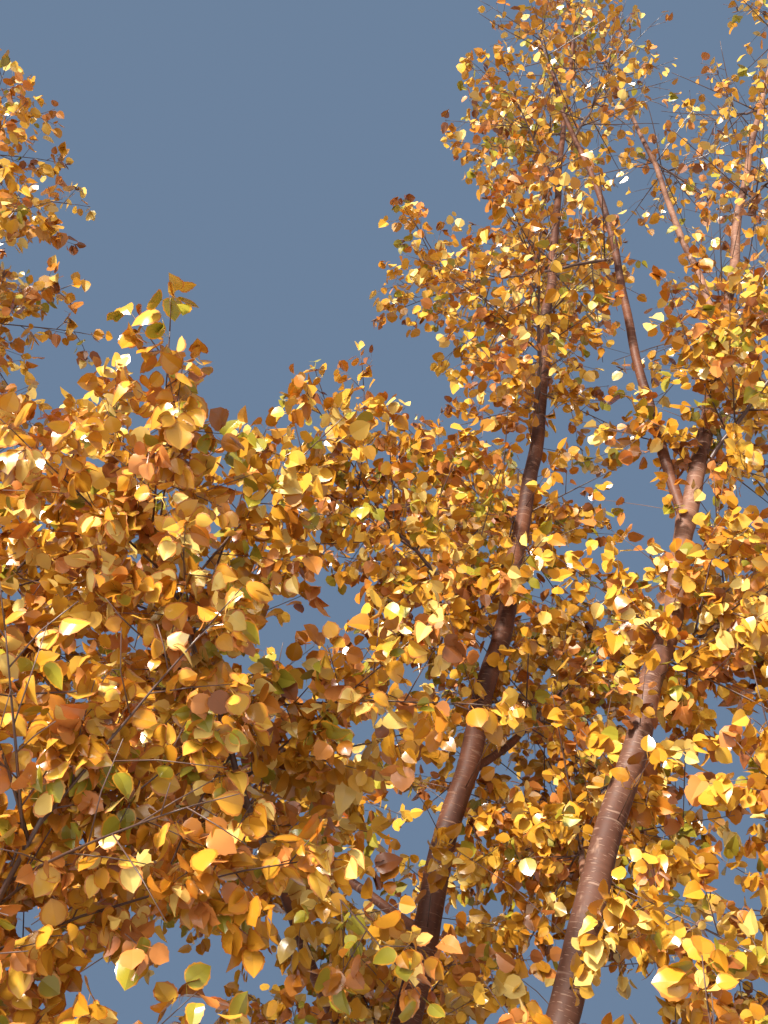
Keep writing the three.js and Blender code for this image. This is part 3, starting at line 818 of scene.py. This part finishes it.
def bent_leaves(chosen, outline, seed):
    """The chosen leaves, each with its own fold along the midrib, curl and ripple, and its stalk."""
    flat, faces, rims = leaf_plan(outline)
    x, y = flat[:, 0], flat[:, 1]
    n = int(chosen.sum())
    shape = np.random.default_rng(seed)
    fold = shape.uniform(*FOLDS, (n, 1))
    curl = shape.normal(CURL, CURL_STRAY, (n, 1))
    cup = shape.uniform(*CUPS, (n, 1))
    ripple = shape.uniform(*RIPPLES, (n, 1)) * np.sin(RIPPLE_WAVES * x) * np.sign(y)
    rise = fold * np.abs(y) - cup * y**2 - curl * x**2 + ripple
    width = shape.uniform(*WIDTHS, (n, 1)) * y
    size = leaf_lengths[chosen][:, None, None]
    sides = leaf_sides[chosen]
    place = leaf_ways[chosen][:, None] * x[None, :, None]
    place = place + sides[:, None] * width[..., None]
    place = place + leaf_faces[chosen][:, None] * rise[..., None]
    roots = leaf_roots[chosen]
    stalk = np.stack([shoot_points[rows][chosen], roots + STALK_WIDTH * sides], axis=1)
    points = np.concatenate([roots[:, None] + size * place, stalk], axis=1)
    firsts = np.arange(n)[:, None, None] * points.shape[1]
    return points.reshape(-1, 3), (faces[None] + firsts).reshape(-1, 3), np.tile(rims, n)


def midrib_edges(mesh, points, outline, first_point):
    """Which edges are midribs, among the leaves whose points start at first_point."""
    ends = np.empty(len(mesh.edges) * 2, np.int32)
    mesh.edges.foreach_get("vertices", ends)
    ends = ends.reshape(-1, 2) - first_point
    per_leaf = len(leaf_plan(outline)[0]) + 2
    inside = ((ends >= 0) & (ends < points)).all(1)
    return inside & (ends % per_leaf < len(outline["rib"])).all(1)


def in_view(points):
    """Whether each point is inside the picture, with a little margin."""
    away = points - EYE_SPOT
    depth = away[:, 1] * math.cos(TILT) + away[:, 2] * math.sin(TILT)
    up = -away[:, 1] * math.sin(TILT) + away[:, 2] * math.cos(TILT)
    wide = VIEW_ASPECT * VIEW_REACH * depth
    return (depth > 0) & (np.abs(away[:, 0]) < wide) & (np.abs(up) < VIEW_REACH * depth)


finishes = {
    name: plain_material(f"{name}_leaf", tint["color"], LEAF_ROUGHNESS, LEAF_GLOSS)
    for name, tint in TINTS.items()
}
seen = kept & in_view(middles)
near = seen & (eye_gap < TOOTHED_WITHIN)
midway = seen & ~near & (eye_gap < SIMPLE_WITHIN)
levels = ((TOOTHED, near), (SIMPLE, midway), (DISTANT, kept & ~near & ~midway))
print("leaves with teeth, simple and distant:", [int(chosen.sum()) for _, chosen in levels])
for k, (name, tint) in enumerate(TINTS.items()):
    parts, rims = [], []
    for level, (outline, chosen) in enumerate(levels):
        seed = SHAPE_STREAM + STREAMS_PER_LEVEL * level + k
        points, faces, on_rim = bent_leaves(chosen & (leaf_tints == k), outline, seed)
        parts.append((points, faces))
        rims.append(on_rim)
    mesh = mesh_of(f"leaves_{name}", *joined(parts))
    sharp = np.zeros(len(mesh.edges), bool)
    first_point = 0
    for (outline, _), (points, _) in zip(levels, parts):
        sharp |= midrib_edges(mesh, len(points), outline, first_point)
        first_point += len(points)
    crease = mesh.attributes.new("sharp_edge", "BOOLEAN", "EDGE")
    crease.data.foreach_set("value", sharp)
    add_piece(f"leaves_{name}", mesh, finishes[name], ALL_MASSES)
    if "rim" in tint:
        mesh.materials.append(finishes[tint["rim"]])
        mesh.polygons.foreach_set("material_index", np.concatenate(rims).astype(np.int32))
    print(f"leaves_{name}:", len(mesh.polygons), "triangles")

# %% [markdown]
# ## Twigs
# Twigs are thin tapering tubes, of six sides for the main twigs and three for the finer ones, too
# fine to show more. Curves with a bevel would do for a few, but for thousands each kind is built as
# rings from arrays, all its lines at once, and closed at both ends.

# %% Build the twigs
MAIN_TWIG_POINTS, MAIN_TWIG_WAVER, WAVER_STREAM = 12, 0.008, 77
MAIN_TWIG_RADIUS, MAIN_TWIG_TIP_RADIUS = 0.008, 0.003
SIDE_TWIG_RADIUS, SIDE_TWIG_TIP_RADIUS = 0.0028, 0.0011
FINE_TWIG_RADIUS, FINE_TWIG_TIP_RADIUS = 0.0013, 0.0007
MAIN_TWIG_SIDES, TWIG_SIDES, MOST_SIDES = 6, 3, 8
TWIG_COLOR, FINE_TWIG_COLOR = (0.12, 0.068, 0.054), (0.16, 0.095, 0.075)
TWIG_ROUGHNESS, FINE_TWIG_ROUGHNESS = 0.35, 0.4
STEEP = 0.8


def tubes(lines, radii, sides):
    """Tubes round many lines of the same number of points: their points and their quads."""
    n, k = lines.shape[:2]
    ways = unit(np.gradient(lines, axis=1))
    helper = np.zeros((n, 1, 3))
    steep = np.abs(ways[:, :1, 2]) > STEEP
    helper[..., 0] = steep
    helper[..., 2] = ~steep
    across = unit(np.cross(ways, helper))
    other = np.cross(ways, across)
    turns = np.arange(sides) * 2 * math.pi / sides
    ring = across[:, :, None] * np.cos(turns)[:, None] + other[:, :, None] * np.sin(turns)[:, None]
    points = lines[:, :, None] + ring * radii[:, :, None, None]
    a = np.arange(sides)
    b = (a + 1) % sides
    row = np.stack([a, b, b + sides, a + sides], axis=1)
    wall = (row[None] + np.arange(k - 1)[:, None, None] * sides).reshape(-1, 4)
    quads = (wall[None] + np.arange(n)[:, None, None] * k * sides).reshape(-1, 4)
    return points.reshape(-1, 3), quads


def tapers(lines, first, last):
    """The radii of many lines, each from first at its root to last at its tip."""
    return np.tile(np.linspace(first, last, lines.shape[1]), (len(lines), 1))


def rounded_line(points, count, stray=0.0, draw=None):
    """A smooth line of count points through the walked ones, with a small waver between them."""
    smooth = []
    for i in range(count):
        place = i / (count - 1) * (len(points) - 1)
        k = min(int(place), len(points) - 2)
        t = place - k
        before = points[k - 1] if k > 0 else 2 * points[0] - points[1]
        after = points[k + 2] if k + 2 < len(points) else 2 * points[-1] - points[-2]
        a, b = points[k], points[k + 1]
        pull_a, pull_b = (b - before) / 2, (after - a) / 2
        spot = (2 * t**3 - 3 * t**2 + 1) * a + (t**3 - 2 * t**2 + t) * pull_a
        spot = spot + (3 * t**2 - 2 * t**3) * b + (t**3 - t**2) * pull_b
        if draw and 0 < i < count - 1:
            spot = spot + any_way(draw) * stray
        smooth.append(spot)
    return smooth


def close_ends(mesh):
    """Fills the open ends of every tube."""
    tube = bmesh.new()
    tube.from_mesh(mesh)
    bmesh.ops.holes_fill(tube, edges=[e for e in tube.edges if e.is_boundary], sides=MOST_SIDES)
    tube.to_mesh(mesh)
    tube.free()


def add_tubes(name, kinds, material):
    """One piece of several kinds of tubes, each kind its lines, radii and number of sides."""
    mesh = mesh_of(name, *joined([tubes(*kind) for kind in kinds]))
    close_ends(mesh)
    add_piece(name, mesh, material, ALL_MASSES)
    print(name, "faces:", len(mesh.polygons))


waver = chance(WAVER_STREAM)
main_lines = as_array(
    rounded_line(m["points"], MAIN_TWIG_POINTS, MAIN_TWIG_WAVER * m["size"], waver) for m in masses
)
sizes = np.array([m["size"] for m in masses])[:, None]
main_radii = tapers(main_lines, MAIN_TWIG_RADIUS, MAIN_TWIG_TIP_RADIUS) * sizes
side_radii = tapers(side_lines, SIDE_TWIG_RADIUS, SIDE_TWIG_TIP_RADIUS)
fine_radii = tapers(fine_lines, FINE_TWIG_RADIUS, FINE_TWIG_TIP_RADIUS)
twig_kinds = [(main_lines, main_radii, MAIN_TWIG_SIDES), (side_lines, side_radii, TWIG_SIDES)]
add_tubes("twigs", twig_kinds, plain_material("dark_twig", TWIG_COLOR, TWIG_ROUGHNESS))
fine_bark = plain_material("fine_twig", FINE_TWIG_COLOR, FINE_TWIG_ROUGHNESS)
add_tubes("fine_twigs", [(fine_lines, fine_radii, TWIG_SIDES)], fine_bark)

# %% [markdown]
# ## Buds and catkins
# Next spring's pointed buds already sit at the twigs' ends, and the topmost twigs hold young catkins,
# stiff little cylinders in twos and threes. They show where the leaves have thinned out, so only the
# upper crown has them.

# %% Build the buds and catkins
BUD_LENGTH, BUD_INSET, CATKIN_LENGTH = 0.007, 0.001, 0.022
BUD_RADII = (0.0007, 0.0016, 0.0003)
CATKIN_RADII = (0.0009, 0.0024, 0.0023, 0.0008)
CATKIN_TWIGS, CATKINS_TOGETHER, CATKIN_SPREAD, CATKIN_HEIGHT = 110, 3, 0.45, 0.35
CATKIN_SIDES = 5
BUD_COLOR, BUD_ROUGHNESS = (0.16, 0.075, 0.045), 0.5


def straight_tubes(starts, ways, length, radii, sides):
    """Straight tubes of one length that all have the same row of radii."""
    steps = np.linspace(0, length, len(radii))
    lines = starts[:, None] + ways[:, None] * steps[None, :, None]
    return lines, np.tile(radii, (len(lines), 1)), sides


high = heights[fine_owners] > CATKIN_HEIGHT
tip_ways = unit(fine_lines[:, -1] - fine_lines[:, -2])
bud_ways = tip_ways[high]
bud_roots = fine_lines[high, -1] - BUD_INSET * bud_ways
buds = straight_tubes(bud_roots, bud_ways, BUD_LENGTH, BUD_RADII, TWIG_SIDES)
catkin_rows = leaf_chance.choice(np.flatnonzero(high), CATKIN_TWIGS, replace=False)
catkin_rows = np.repeat(catkin_rows, CATKINS_TOGETHER)
catkin_stray = CATKIN_SPREAD * leaf_chance.normal(size=(len(catkin_rows), 3))
catkin_ways = unit(tip_ways[catkin_rows] + catkin_stray)
catkin_roots = fine_lines[catkin_rows, -1]
catkins = straight_tubes(catkin_roots, catkin_ways, CATKIN_LENGTH, CATKIN_RADII, CATKIN_SIDES)
add_tubes("buds_and_catkins", [buds, catkins], plain_material("bud", BUD_COLOR, BUD_ROUGHNESS))
print("buds:", len(bud_ways), "catkins:", len(catkin_rows))

# %% [markdown]
# ## Birch bark
# Young birch bark is smooth and coppery, crossed by pale dashes called lenticels, with a thin skin
# that peels in patches. Low on a stem it is darker, and at the ground it is old, grey and cracked.
# The marks run round the stem, so the pattern is laid out on a place that every bark mesh stores:
# round the limb, and along it. One node group draws the marks, and each bark gives it its own colours.

# %% The bark's pattern
COLOR, AMOUNT = "NodeSocketColor", "NodeSocketFloat"
PATTERN_INPUTS = {
    "Place": "NodeSocketVector", "Skin": COLOR, "Shade": COLOR, "Marks": COLOR, "Peel": COLOR,
    "Old Skin": COLOR, "Old Shade": COLOR, "Peeling": AMOUNT, "Low Darkness": AMOUNT, "Dullness": AMOUNT,
}
PATTERN_OUTPUTS = {"Color": COLOR, "Roughness": AMOUNT, "Height": AMOUNT}
# Each noise: its scales, its detail and roughness, and the two values that a mask goes between.
NOISES = {
    "mottle": ((15, 15, 6), 4, 0.5, (0.4, 0.64)),
    "rings": ((1.5, 1.5, 52), 0, 0.5, (0.72, 0.76)),
    "bands": ((14, 14, 150), 2, 0.5, None),
    "dashes": ((48, 48, 380), 1, 0.5, (0.64, 0.7)),
    "long_dashes": ((26, 26, 150), 1, 0.5, (0.67, 0.71)),
    "peeled": ((16, 16, 9), 4, 0.6, None),
    "ragged": ((30, 30, 9), 3, 0.6, None),
    "cracks": ((80, 80, 17), 4, 0.65, (0.52, 0.42)),
}
PATCH_ENDS, LOW_BARK_ENDS, OLD_BARK_ENDS = (0.98, 1.08), (3.9, 2.5), (0.95, 0.5225)
RAGGED_DEPTH = 0.45
BAND_STRENGTH, MARK_STRENGTH, OLD_STRENGTH = 0.3, 0.5, 0.85
HEIGHT_SHARES = dict(marks=0.5, patches=0.7, bands=0.35, cracked=-1.2, mottle=0.15)
ROUGH_SHARES = dict(patches=0.2, cracked=0.2, bands=0.3, mottle=0.08)


def new_group(name, inputs, outputs):
    tree = bpy.data.node_groups.new(name, "ShaderNodeTree")
    for way, sockets in (("INPUT", inputs), ("OUTPUT", outputs)):
        for label, kind in sockets.items():
            tree.interface.new_socket(label, in_out=way, socket_type=kind)
    return tree, tree.nodes.new("NodeGroupInput").outputs, tree.nodes.new("NodeGroupOutput").inputs


def node(tree, kind, **settings):
    made = tree.nodes.new(kind)
    for key, value in settings.items():
        setattr(made, key, value)
    return made


def put(tree, value, socket):
    """Gives a socket a number, or links another node's output to it."""
    if isinstance(value, (int, float)):
        socket.default_value = value
    else:
        tree.links.new(value, socket)


def stretched_noise(tree, vector, scales, detail, roughness):
    """Noise on a vector that is first scaled by its own amount along each axis."""
    scaled = node(tree, "ShaderNodeVectorMath", operation="MULTIPLY")
    scaled.inputs[1].default_value = scales
    tree.links.new(vector, scaled.inputs[0])
    made = node(tree, "ShaderNodeTexNoise")
    made.inputs["Scale"].default_value = 1.0
    made.inputs["Detail"].default_value = detail
    made.inputs["Roughness"].default_value = roughness
    tree.links.new(scaled.outputs[0], made.inputs["Vector"])
    return made.outputs["Fac"]


def stepped(tree, value, low, high):
    """A value as a mask from 0 at low to 1 at high."""
    made = node(tree, "ShaderNodeMapRange", interpolation_type="SMOOTHSTEP")
    made.inputs["From Min"].default_value = low
    made.inputs["From Max"].default_value = high
    tree.links.new(value, made.inputs["Value"])
    return made.outputs["Result"]


def maths(tree, operation, total, *values):
    """One value after another joined to the first by the same operation."""
    for value in values:
        made = node(tree, "ShaderNodeMath", operation=operation)
        put(tree, total, made.inputs[0])
        put(tree, value, made.inputs[1])
        total = made.outputs[0]
    return total


def weighed(tree, layers, shares):
    """The sum of some layers, each times its share."""
    parts = [maths(tree, "MULTIPLY", layers[name], share) for name, share in shares.items()]
    return maths(tree, "ADD", *parts)


def blended(tree, mask, a, b, blend_type="MIX"):
    made = node(tree, "ShaderNodeMix", data_type="RGBA", blend_type=blend_type)
    put(tree, mask, made.inputs["Factor"])
    tree.links.new(a, made.inputs["A"])
    tree.links.new(b, made.inputs["B"])
    return made.outputs["Result"]


def bark_group():
    tree, given, result = new_group("birch_bark", PATTERN_INPUTS, PATTERN_OUTPUTS)
    layers = {}
    for name, (scales, detail, roughness, ends) in NOISES.items():
        fac = stretched_noise(tree, given["Place"], scales, detail, roughness)
        layers[name] = stepped(tree, fac, *ends) if ends else fac
    split = node(tree, "ShaderNodeSeparateXYZ")
    tree.links.new(given["Place"], split.inputs[0])
    length_along = split.outputs["Z"]
    peeled = maths(tree, "ADD", layers["peeled"], given["Peeling"])
    ragged = maths(tree, "MULTIPLY", layers["ragged"], RAGGED_DEPTH)
    old = stepped(tree, maths(tree, "ADD", length_along, ragged), *OLD_BARK_ENDS)
    layers["marks"] = maths(tree, "MAXIMUM", layers["dashes"], layers["long_dashes"], layers["rings"])
    layers["patches"] = stepped(tree, peeled, *PATCH_ENDS)
    layers["cracked"] = maths(tree, "MULTIPLY", layers["cracks"], old)

    low = maths(tree, "MULTIPLY", stepped(tree, length_along, *LOW_BARK_ENDS), given["Low Darkness"])
    color = blended(tree, maths(tree, "MAXIMUM", layers["mottle"], low), given["Skin"], given["Shade"])
    color = blended(tree, BAND_STRENGTH, color, layers["bands"], "OVERLAY")
    color = blended(tree, layers["patches"], color, given["Peel"])
    color = blended(tree, maths(tree, "MULTIPLY", layers["marks"], MARK_STRENGTH), color, given["Marks"])
    plates = blended(tree, layers["mottle"], given["Old Skin"], given["Skin"])
    color = blended(tree, maths(tree, "MULTIPLY", old, OLD_STRENGTH), color, plates)
    color = blended(tree, layers["cracked"], color, given["Old Shade"])
    tree.links.new(color, result["Color"])
    tree.links.new(weighed(tree, layers, HEIGHT_SHARES), result["Height"])
    rough = maths(tree, "ADD", weighed(tree, layers, ROUGH_SHARES), given["Dullness"])
    tree.links.new(rough, result["Roughness"])
    return tree


BARK_PATTERN = bark_group()
print("nodes in the bark's pattern:", len(BARK_PATTERN.nodes))

# %% [markdown]
# ## The bark finishes
# The middle and left stems are dark and coppery, the right one is paler and pinker, and the foot is
# old bark, brown-grey and cracked. Each material places the one pattern and adds its own shader, so
# gloss and bump stay with the material.

# %% The bark materials
BARK_GLOSS, RELIEF_STRENGTH = 0.3, 0.6
SAME_IN_ALL = {"Old Skin": (0.16, 0.115, 0.09), "Old Shade": (0.036, 0.026, 0.022), "Dullness": 0.38}
DARK_BARK = {
    "Skin": (0.17, 0.06, 0.029), "Shade": (0.065, 0.024, 0.015), "Marks": (0.31, 0.17, 0.11),
    "Peel": (0.24, 0.12, 0.075), "Peeling": 0.28, "Low Darkness": 0.45,
}
PALE_BARK = {
    "Skin": (0.31, 0.15, 0.092), "Shade": (0.105, 0.042, 0.026), "Marks": (0.44, 0.28, 0.2),
    "Peel": (0.37, 0.22, 0.15), "Peeling": 0.36, "Low Darkness": 0.9,
}
FOOT_BARK = {
    "Skin": (0.11, 0.06, 0.04), "Shade": (0.045, 0.03, 0.025), "Marks": (0.24, 0.18, 0.14),
    "Peel": (0.22, 0.16, 0.12), "Peeling": 0.26, "Low Darkness": 0.0,
}
STEM_RELIEF, FOOT_RELIEF = 0.0015, 0.004


def bark_material(name, relief_depth, values):
    material = bpy.data.materials.new(name)
    material.use_nodes = True
    tree = material.node_tree
    shader = tree.nodes["Principled BSDF"].inputs
    shader["Specular IOR Level"].default_value = BARK_GLOSS
    place = node(tree, "ShaderNodeAttribute", attribute_name="bark_place")
    pattern = node(tree, "ShaderNodeGroup", node_tree=BARK_PATTERN)
    for label, value in (SAME_IN_ALL | values).items():
        pattern.inputs[label].default_value = (*value, 1) if isinstance(value, tuple) else value
    relief = node(tree, "ShaderNodeBump")
    relief.inputs["Strength"].default_value = RELIEF_STRENGTH
    relief.inputs["Distance"].default_value = relief_depth
    tree.links.new(place.outputs["Vector"], pattern.inputs["Place"])
    tree.links.new(pattern.outputs["Height"], relief.inputs["Height"])
    tree.links.new(relief.outputs["Normal"], shader["Normal"])
    tree.links.new(pattern.outputs["Color"], shader["Base Color"])
    tree.links.new(pattern.outputs["Roughness"], shader["Roughness"])
    return material


dark_bark = bark_material("dark_stem_bark", STEM_RELIEF, DARK_BARK)
pale_bark = bark_material("pale_stem_bark", STEM_RELIEF, PALE_BARK)
foot_bark = bark_material("old_foot_bark", FOOT_RELIEF, FOOT_BARK)
print("bark materials:", dark_bark.name, pale_bark.name, foot_bark.name)

# %% [markdown]
# ## Bark on the limbs
# A circle is extruded ring by ring along the limb, with a mark on every vertex of where it lies
# round and along the limb. A smooth curve with a bevel would be shorter, but here the rings are
# pushed in and out: shallow waves, and a collar where a bough or twig leaves.

# %% Cover the stems and boughs
FEWEST_RINGS, RING_STEP = 8, 0.014
STEM_BARK_START = 0.112
STEM_SIDES, BOUGH_SIDES = 26, 14
WAVE_DEPTH, WAVE_SCALE, RIPPLE_SCALE, RIPPLE_SHARE = 0.06, 9, 31, 0.5
COLLAR_REACH, COLLAR_ROOM, COLLAR_END, COLLAR_HEIGHT = 1.5, 0.004, 2.5, 0.55
WAVER_FROM, WAVER_SCALE, WAVER_SEED = 0.07, 3.6, 5
LAST_EXIT = 0.99
# Only the stems from the ground have low, dark bark, so all other bark is marked as far along.
LENGTH_PAST_FOOT = 4.0


def ring_frames(line):
    """A direction and two cross directions at every point, without twist."""
    frames = []
    normal = None
    for i, point in enumerate(line):
        way = (line[min(i + 1, len(line) - 1)] - line[max(i - 1, 0)]).normalized()
        normal = way.orthogonal().normalized() if normal is None else normal - way * normal.dot(way)
        normal.normalize()
        frames.append((point, normal.copy(), way.cross(normal)))
    return frames


def exits_on(limb):
    """Where side growth leaves the limb: the point on its bark, and the growth's own radius."""
    points = limb["points"]
    side_limbs = [other for other in limbs.values() if other.get("parent") == limb["name"]]
    grown = [(other, other["radius_at"](0)) for other in side_limbs]
    grown += [(m, MAIN_TWIG_RADIUS * m["size"]) for m in masses if m["carrier"] == limb["name"]]
    exits = []
    for side, thickness in grown:
        start, way = along(side["points"], 0)
        nearest = min(range(len(points)), key=lambda k: (points[k] - start).length)
        share = nearest / (len(points) - 1)
        if share < LAST_EXIT:
            exits.append((start + way * limb["radius_at"](share), thickness))
    return exits


def wavered(line, limb):
    """The limb's line with the small kinks of real growth, none at its root."""
    moved = []
    for i, point in enumerate(line):
        share = i / (len(line) - 1)
        depth = limb["radius_at"](share) * min(1, max(0, (share - WAVER_FROM) / WAVER_FROM))
        moved.append(point + noise.noise_vector(point * WAVER_SCALE) * depth)
    return moved


def swollen(spot, radius, exits):
    """How far the bark stands out at a spot: shallow waves, and a collar round every exit."""
    wave = noise.noise(spot * WAVE_SCALE) + RIPPLE_SHARE * noise.noise(spot * RIPPLE_SCALE)
    swell = WAVE_DEPTH * radius * wave
    for exit_point, thickness in exits:
        away = (spot - exit_point).length / (COLLAR_REACH * thickness + COLLAR_ROOM)
        if away < COLLAR_END:
            swell += COLLAR_HEIGHT * thickness * math.exp(-away * away)
    return swell


def swept(shape, sides, frames, set_vertex):
    """Adds a closed tube: a circle extruded from frame to frame, each vertex set by row and angle."""
    ring = bmesh.ops.create_circle(shape, segments=sides, radius=1)["verts"]
    angles = [math.atan2(v.co.y, v.co.x) for v in ring]
    edges = shape.edges[-sides:]
    bmesh.ops.edgeloop_fill(shape, edges=edges)
    for row in range(len(frames)):
        if row:
            made = bmesh.ops.extrude_edge_only(shape, edges=edges)["geom"]
            edges = [e for e in made if isinstance(e, bmesh.types.BMEdge)]
            ring = [v for v in made if isinstance(v, bmesh.types.BMVert)]
            centre, across, other = frames[row - 1]
            angles = [math.atan2((v.co - centre).dot(other), (v.co - centre).dot(across)) for v in ring]
        for vertex, angle in zip(ring, angles):
            set_vertex(vertex, row, angle)
    bmesh.ops.edgeloop_fill(shape, edges=edges)


def smooth_mesh(shape, name):
    mesh = bpy.data.meshes.new(name)
    shape.to_mesh(mesh)
    shape.free()
    mesh.polygons.foreach_set("use_smooth", np.full(len(mesh.polygons), True))
    return mesh


def bark_on(limb, sides):
    """A closed tube with relief round one limb, its bark_place stored on the vertices."""
    rings = max(FEWEST_RINGS, round(limb["length"] / RING_STEP))
    first = round(STEM_BARK_START / RING_STEP) if "foot" in limb else 0
    frames = ring_frames(wavered(rounded_line(limb["points"], rings), limb))[first:]
    exits = exits_on(limb)
    bark = bmesh.new()
    place = bark.verts.layers.float_vector.new("bark_place")

    def set_vertex(vertex, row, angle):
        centre, across, other = frames[row]
        share = (row + first) / (rings - 1)
        radius = limb["radius_at"](share)
        out = across * math.cos(angle) + other * math.sin(angle)
        vertex.co = centre + out * (radius + swollen(centre + out * radius, radius, exits))
        length_along = share * limb["length"] + (0 if "foot" in limb else LENGTH_PAST_FOOT)
        vertex[place] = (radius * math.cos(angle), radius * math.sin(angle), length_along)

    swept(bark, sides, frames, set_vertex)
    bmesh.ops.recalc_face_normals(bark, faces=bark.faces[:])
    return smooth_mesh(bark, f"{limb['name']}_bark")


def is_pale(name):
    return name in ("right_stem", "right_back_stem") or name.startswith("right_bough")


# Blender starts noise vectors from the clock unless they have a seed.
noise.seed_set(WAVER_SEED)
for limb in limbs.values():
    mesh = bark_on(limb, STEM_SIDES if "foot" in limb else BOUGH_SIDES)
    finish, slot = (pale_bark, "pale_bark") if is_pale(limb["name"]) else (dark_bark, "dark_bark")
    add_piece(f"{limb['name']}_bark", mesh, finish, [limb["name"]])
    print(limb["name"], "bark:", len(mesh.polygons), "faces")

# %% [markdown]
# ## The flared foot
# At the ground the three stems grow into one foot with blunt toes and cracked old bark. The mound
# and the stems' first stretch are joined by a voxel remesh, which rounds the forks between them as
# growth does, and the foot is cut flat at the ground.

# %% Shape the foot
FOOT_HEIGHT, FOOT_BOTTOM = 0.09, -0.03
FOOT_RADIUS, FOOT_TOP_RADIUS, FOOT_PROFILE = 0.165, 0.03, 1.3
FOOT_TOES, FOOT_TOE_DEPTH, FOOT_TOE_TURN = 5, 0.16, 0.6
FOOT_SIDES, FOOT_ROWS = 72, 24
ARM_SIDES, ARM_ROWS, ARM_SHARE, ARM_TAPER = 24, 200, 0.062, 0.04
FOOT_VOXEL = 0.0065
SOFTENING, SOFTENING_TIMES = 0.5, 6


def foot_mound(shape):
    """The mound: rings drawn in to the flare's profile and pushed out at the toes."""
    rises = [row / FOOT_ROWS for row in range(FOOT_ROWS + 1)]
    centres = [Vector((0, 0, mix(FOOT_BOTTOM, FOOT_HEIGHT, rise))) for rise in rises]
    frames = [(centre, Vector((1, 0, 0)), Vector((0, 1, 0))) for centre in centres]

    def set_vertex(vertex, row, turn):
        radius = mix(FOOT_TOP_RADIUS, FOOT_RADIUS, (1 - rises[row]) ** FOOT_PROFILE)
        toe = 1 + FOOT_TOE_DEPTH * (1 - rises[row]) * math.cos(FOOT_TOES * turn + FOOT_TOE_TURN)
        vertex.co = Vector((math.cos(turn), math.sin(turn), 0)) * radius * toe
        vertex.co.z = centres[row].z

    swept(shape, FOOT_SIDES, frames, set_vertex)


def foot_arm(shape, limb):
    """The first stretch of one stem as a plain closed tube."""
    line = rounded_line(limb["points"], ARM_ROWS)[: round(ARM_ROWS * ARM_SHARE) + 2]
    frames = ring_frames(line)

    def set_vertex(vertex, row, angle):
        centre, across, other = frames[row]
        taper = 1 - ARM_TAPER * (row / (len(frames) - 1))
        out = across * math.cos(angle) + other * math.sin(angle)
        vertex.co = centre + out * limb["radius_at"](row / (ARM_ROWS - 1)) * taper

    swept(shape, ARM_SIDES, frames, set_vertex)


rough_foot = bmesh.new()
foot_mound(rough_foot)
for stem in footed_stems:
    foot_arm(rough_foot, stem)
bmesh.ops.recalc_face_normals(rough_foot, faces=rough_foot.faces[:])
foot_shape = bpy.data.objects.new("rough_foot", smooth_mesh(rough_foot, "rough_foot"))
bpy.context.scene.collection.objects.link(foot_shape)
merge = foot_shape.modifiers.new("merge", "REMESH")
merge.mode = "VOXEL"
merge.voxel_size = FOOT_VOXEL
soften = foot_shape.modifiers.new("soften", "SMOOTH")
soften.factor = SOFTENING
soften.iterations = SOFTENING_TIMES
shaped = bpy.data.meshes.new_from_object(foot_shape.evaluated_get(bpy.context.evaluated_depsgraph_get()))
bpy.data.objects.remove(foot_shape)
print("remeshed foot:", len(shaped.polygons), "faces")

# %% [markdown]
# ## Cracks in the foot's bark
# Old bark splits upright as the wood swells under it. A bump in the material would leave the
# outline smooth, so the surface itself is pushed in along the cracks, less so further up, before
# the foot is cut at the ground.

# %% Crack the foot's bark and cut it at the ground
CRACK_SCALES, FINE_CRACK_SCALE, FINE_CRACK_SHARE = Vector((46, 46, 15)), 2.3, 0.4
FISSURE_DEPTH, FISSURE_MIDDLE = 0.006, 0.35
FISSURE_FADE_START, FISSURE_FADE_HEIGHT, LEAST_FISSURE = 1.2, 0.3, 0.25
GROUND_NEAR = 1e-5


def fissured(bark):
    """Pushes the surface in along upright cracks and out on the plates between them."""
    for vertex in bark.verts:
        stretched = vertex.co * CRACK_SCALES
        crack = abs(noise.noise(stretched))
        crack += FINE_CRACK_SHARE * abs(noise.noise(stretched * FINE_CRACK_SCALE))
        fade = min(1.0, max(LEAST_FISSURE, FISSURE_FADE_START - vertex.co.z / FISSURE_FADE_HEIGHT))
        vertex.co = vertex.co + vertex.normal * FISSURE_DEPTH * fade * (crack - FISSURE_MIDDLE)


foot = bmesh.new()
foot.from_mesh(shaped)
foot.normal_update()
fissured(foot)
everything = foot.verts[:] + foot.edges[:] + foot.faces[:]
ground = dict(plane_co=(0, 0, 0), plane_no=(0, 0, 1))
cut = bmesh.ops.bisect_plane(foot, geom=everything, clear_inner=True, **ground)
rim = [e for e in cut["geom_cut"] if isinstance(e, bmesh.types.BMEdge)]
bmesh.ops.holes_fill(foot, edges=rim)
bmesh.ops.triangulate(foot, faces=[f for f in foot.faces if len(f.verts) > 4])
bmesh.ops.recalc_face_normals(foot, faces=foot.faces[:])
place = foot.verts.layers.float_vector.new("bark_place")
for vertex in foot.verts:
    vertex[place] = vertex.co
    if abs(vertex.co.z) < GROUND_NEAR:
        vertex.co.z = 0
foot_mesh = smooth_mesh(foot, "trunk_foot_bark")
add_piece("trunk_foot_bark", foot_mesh, foot_bark, ["trunk_foot"])
lowest = min(v.co.z for v in foot_mesh.vertices)
print("foot:", len(foot_mesh.polygons), "faces, lowest point", round(lowest, 5))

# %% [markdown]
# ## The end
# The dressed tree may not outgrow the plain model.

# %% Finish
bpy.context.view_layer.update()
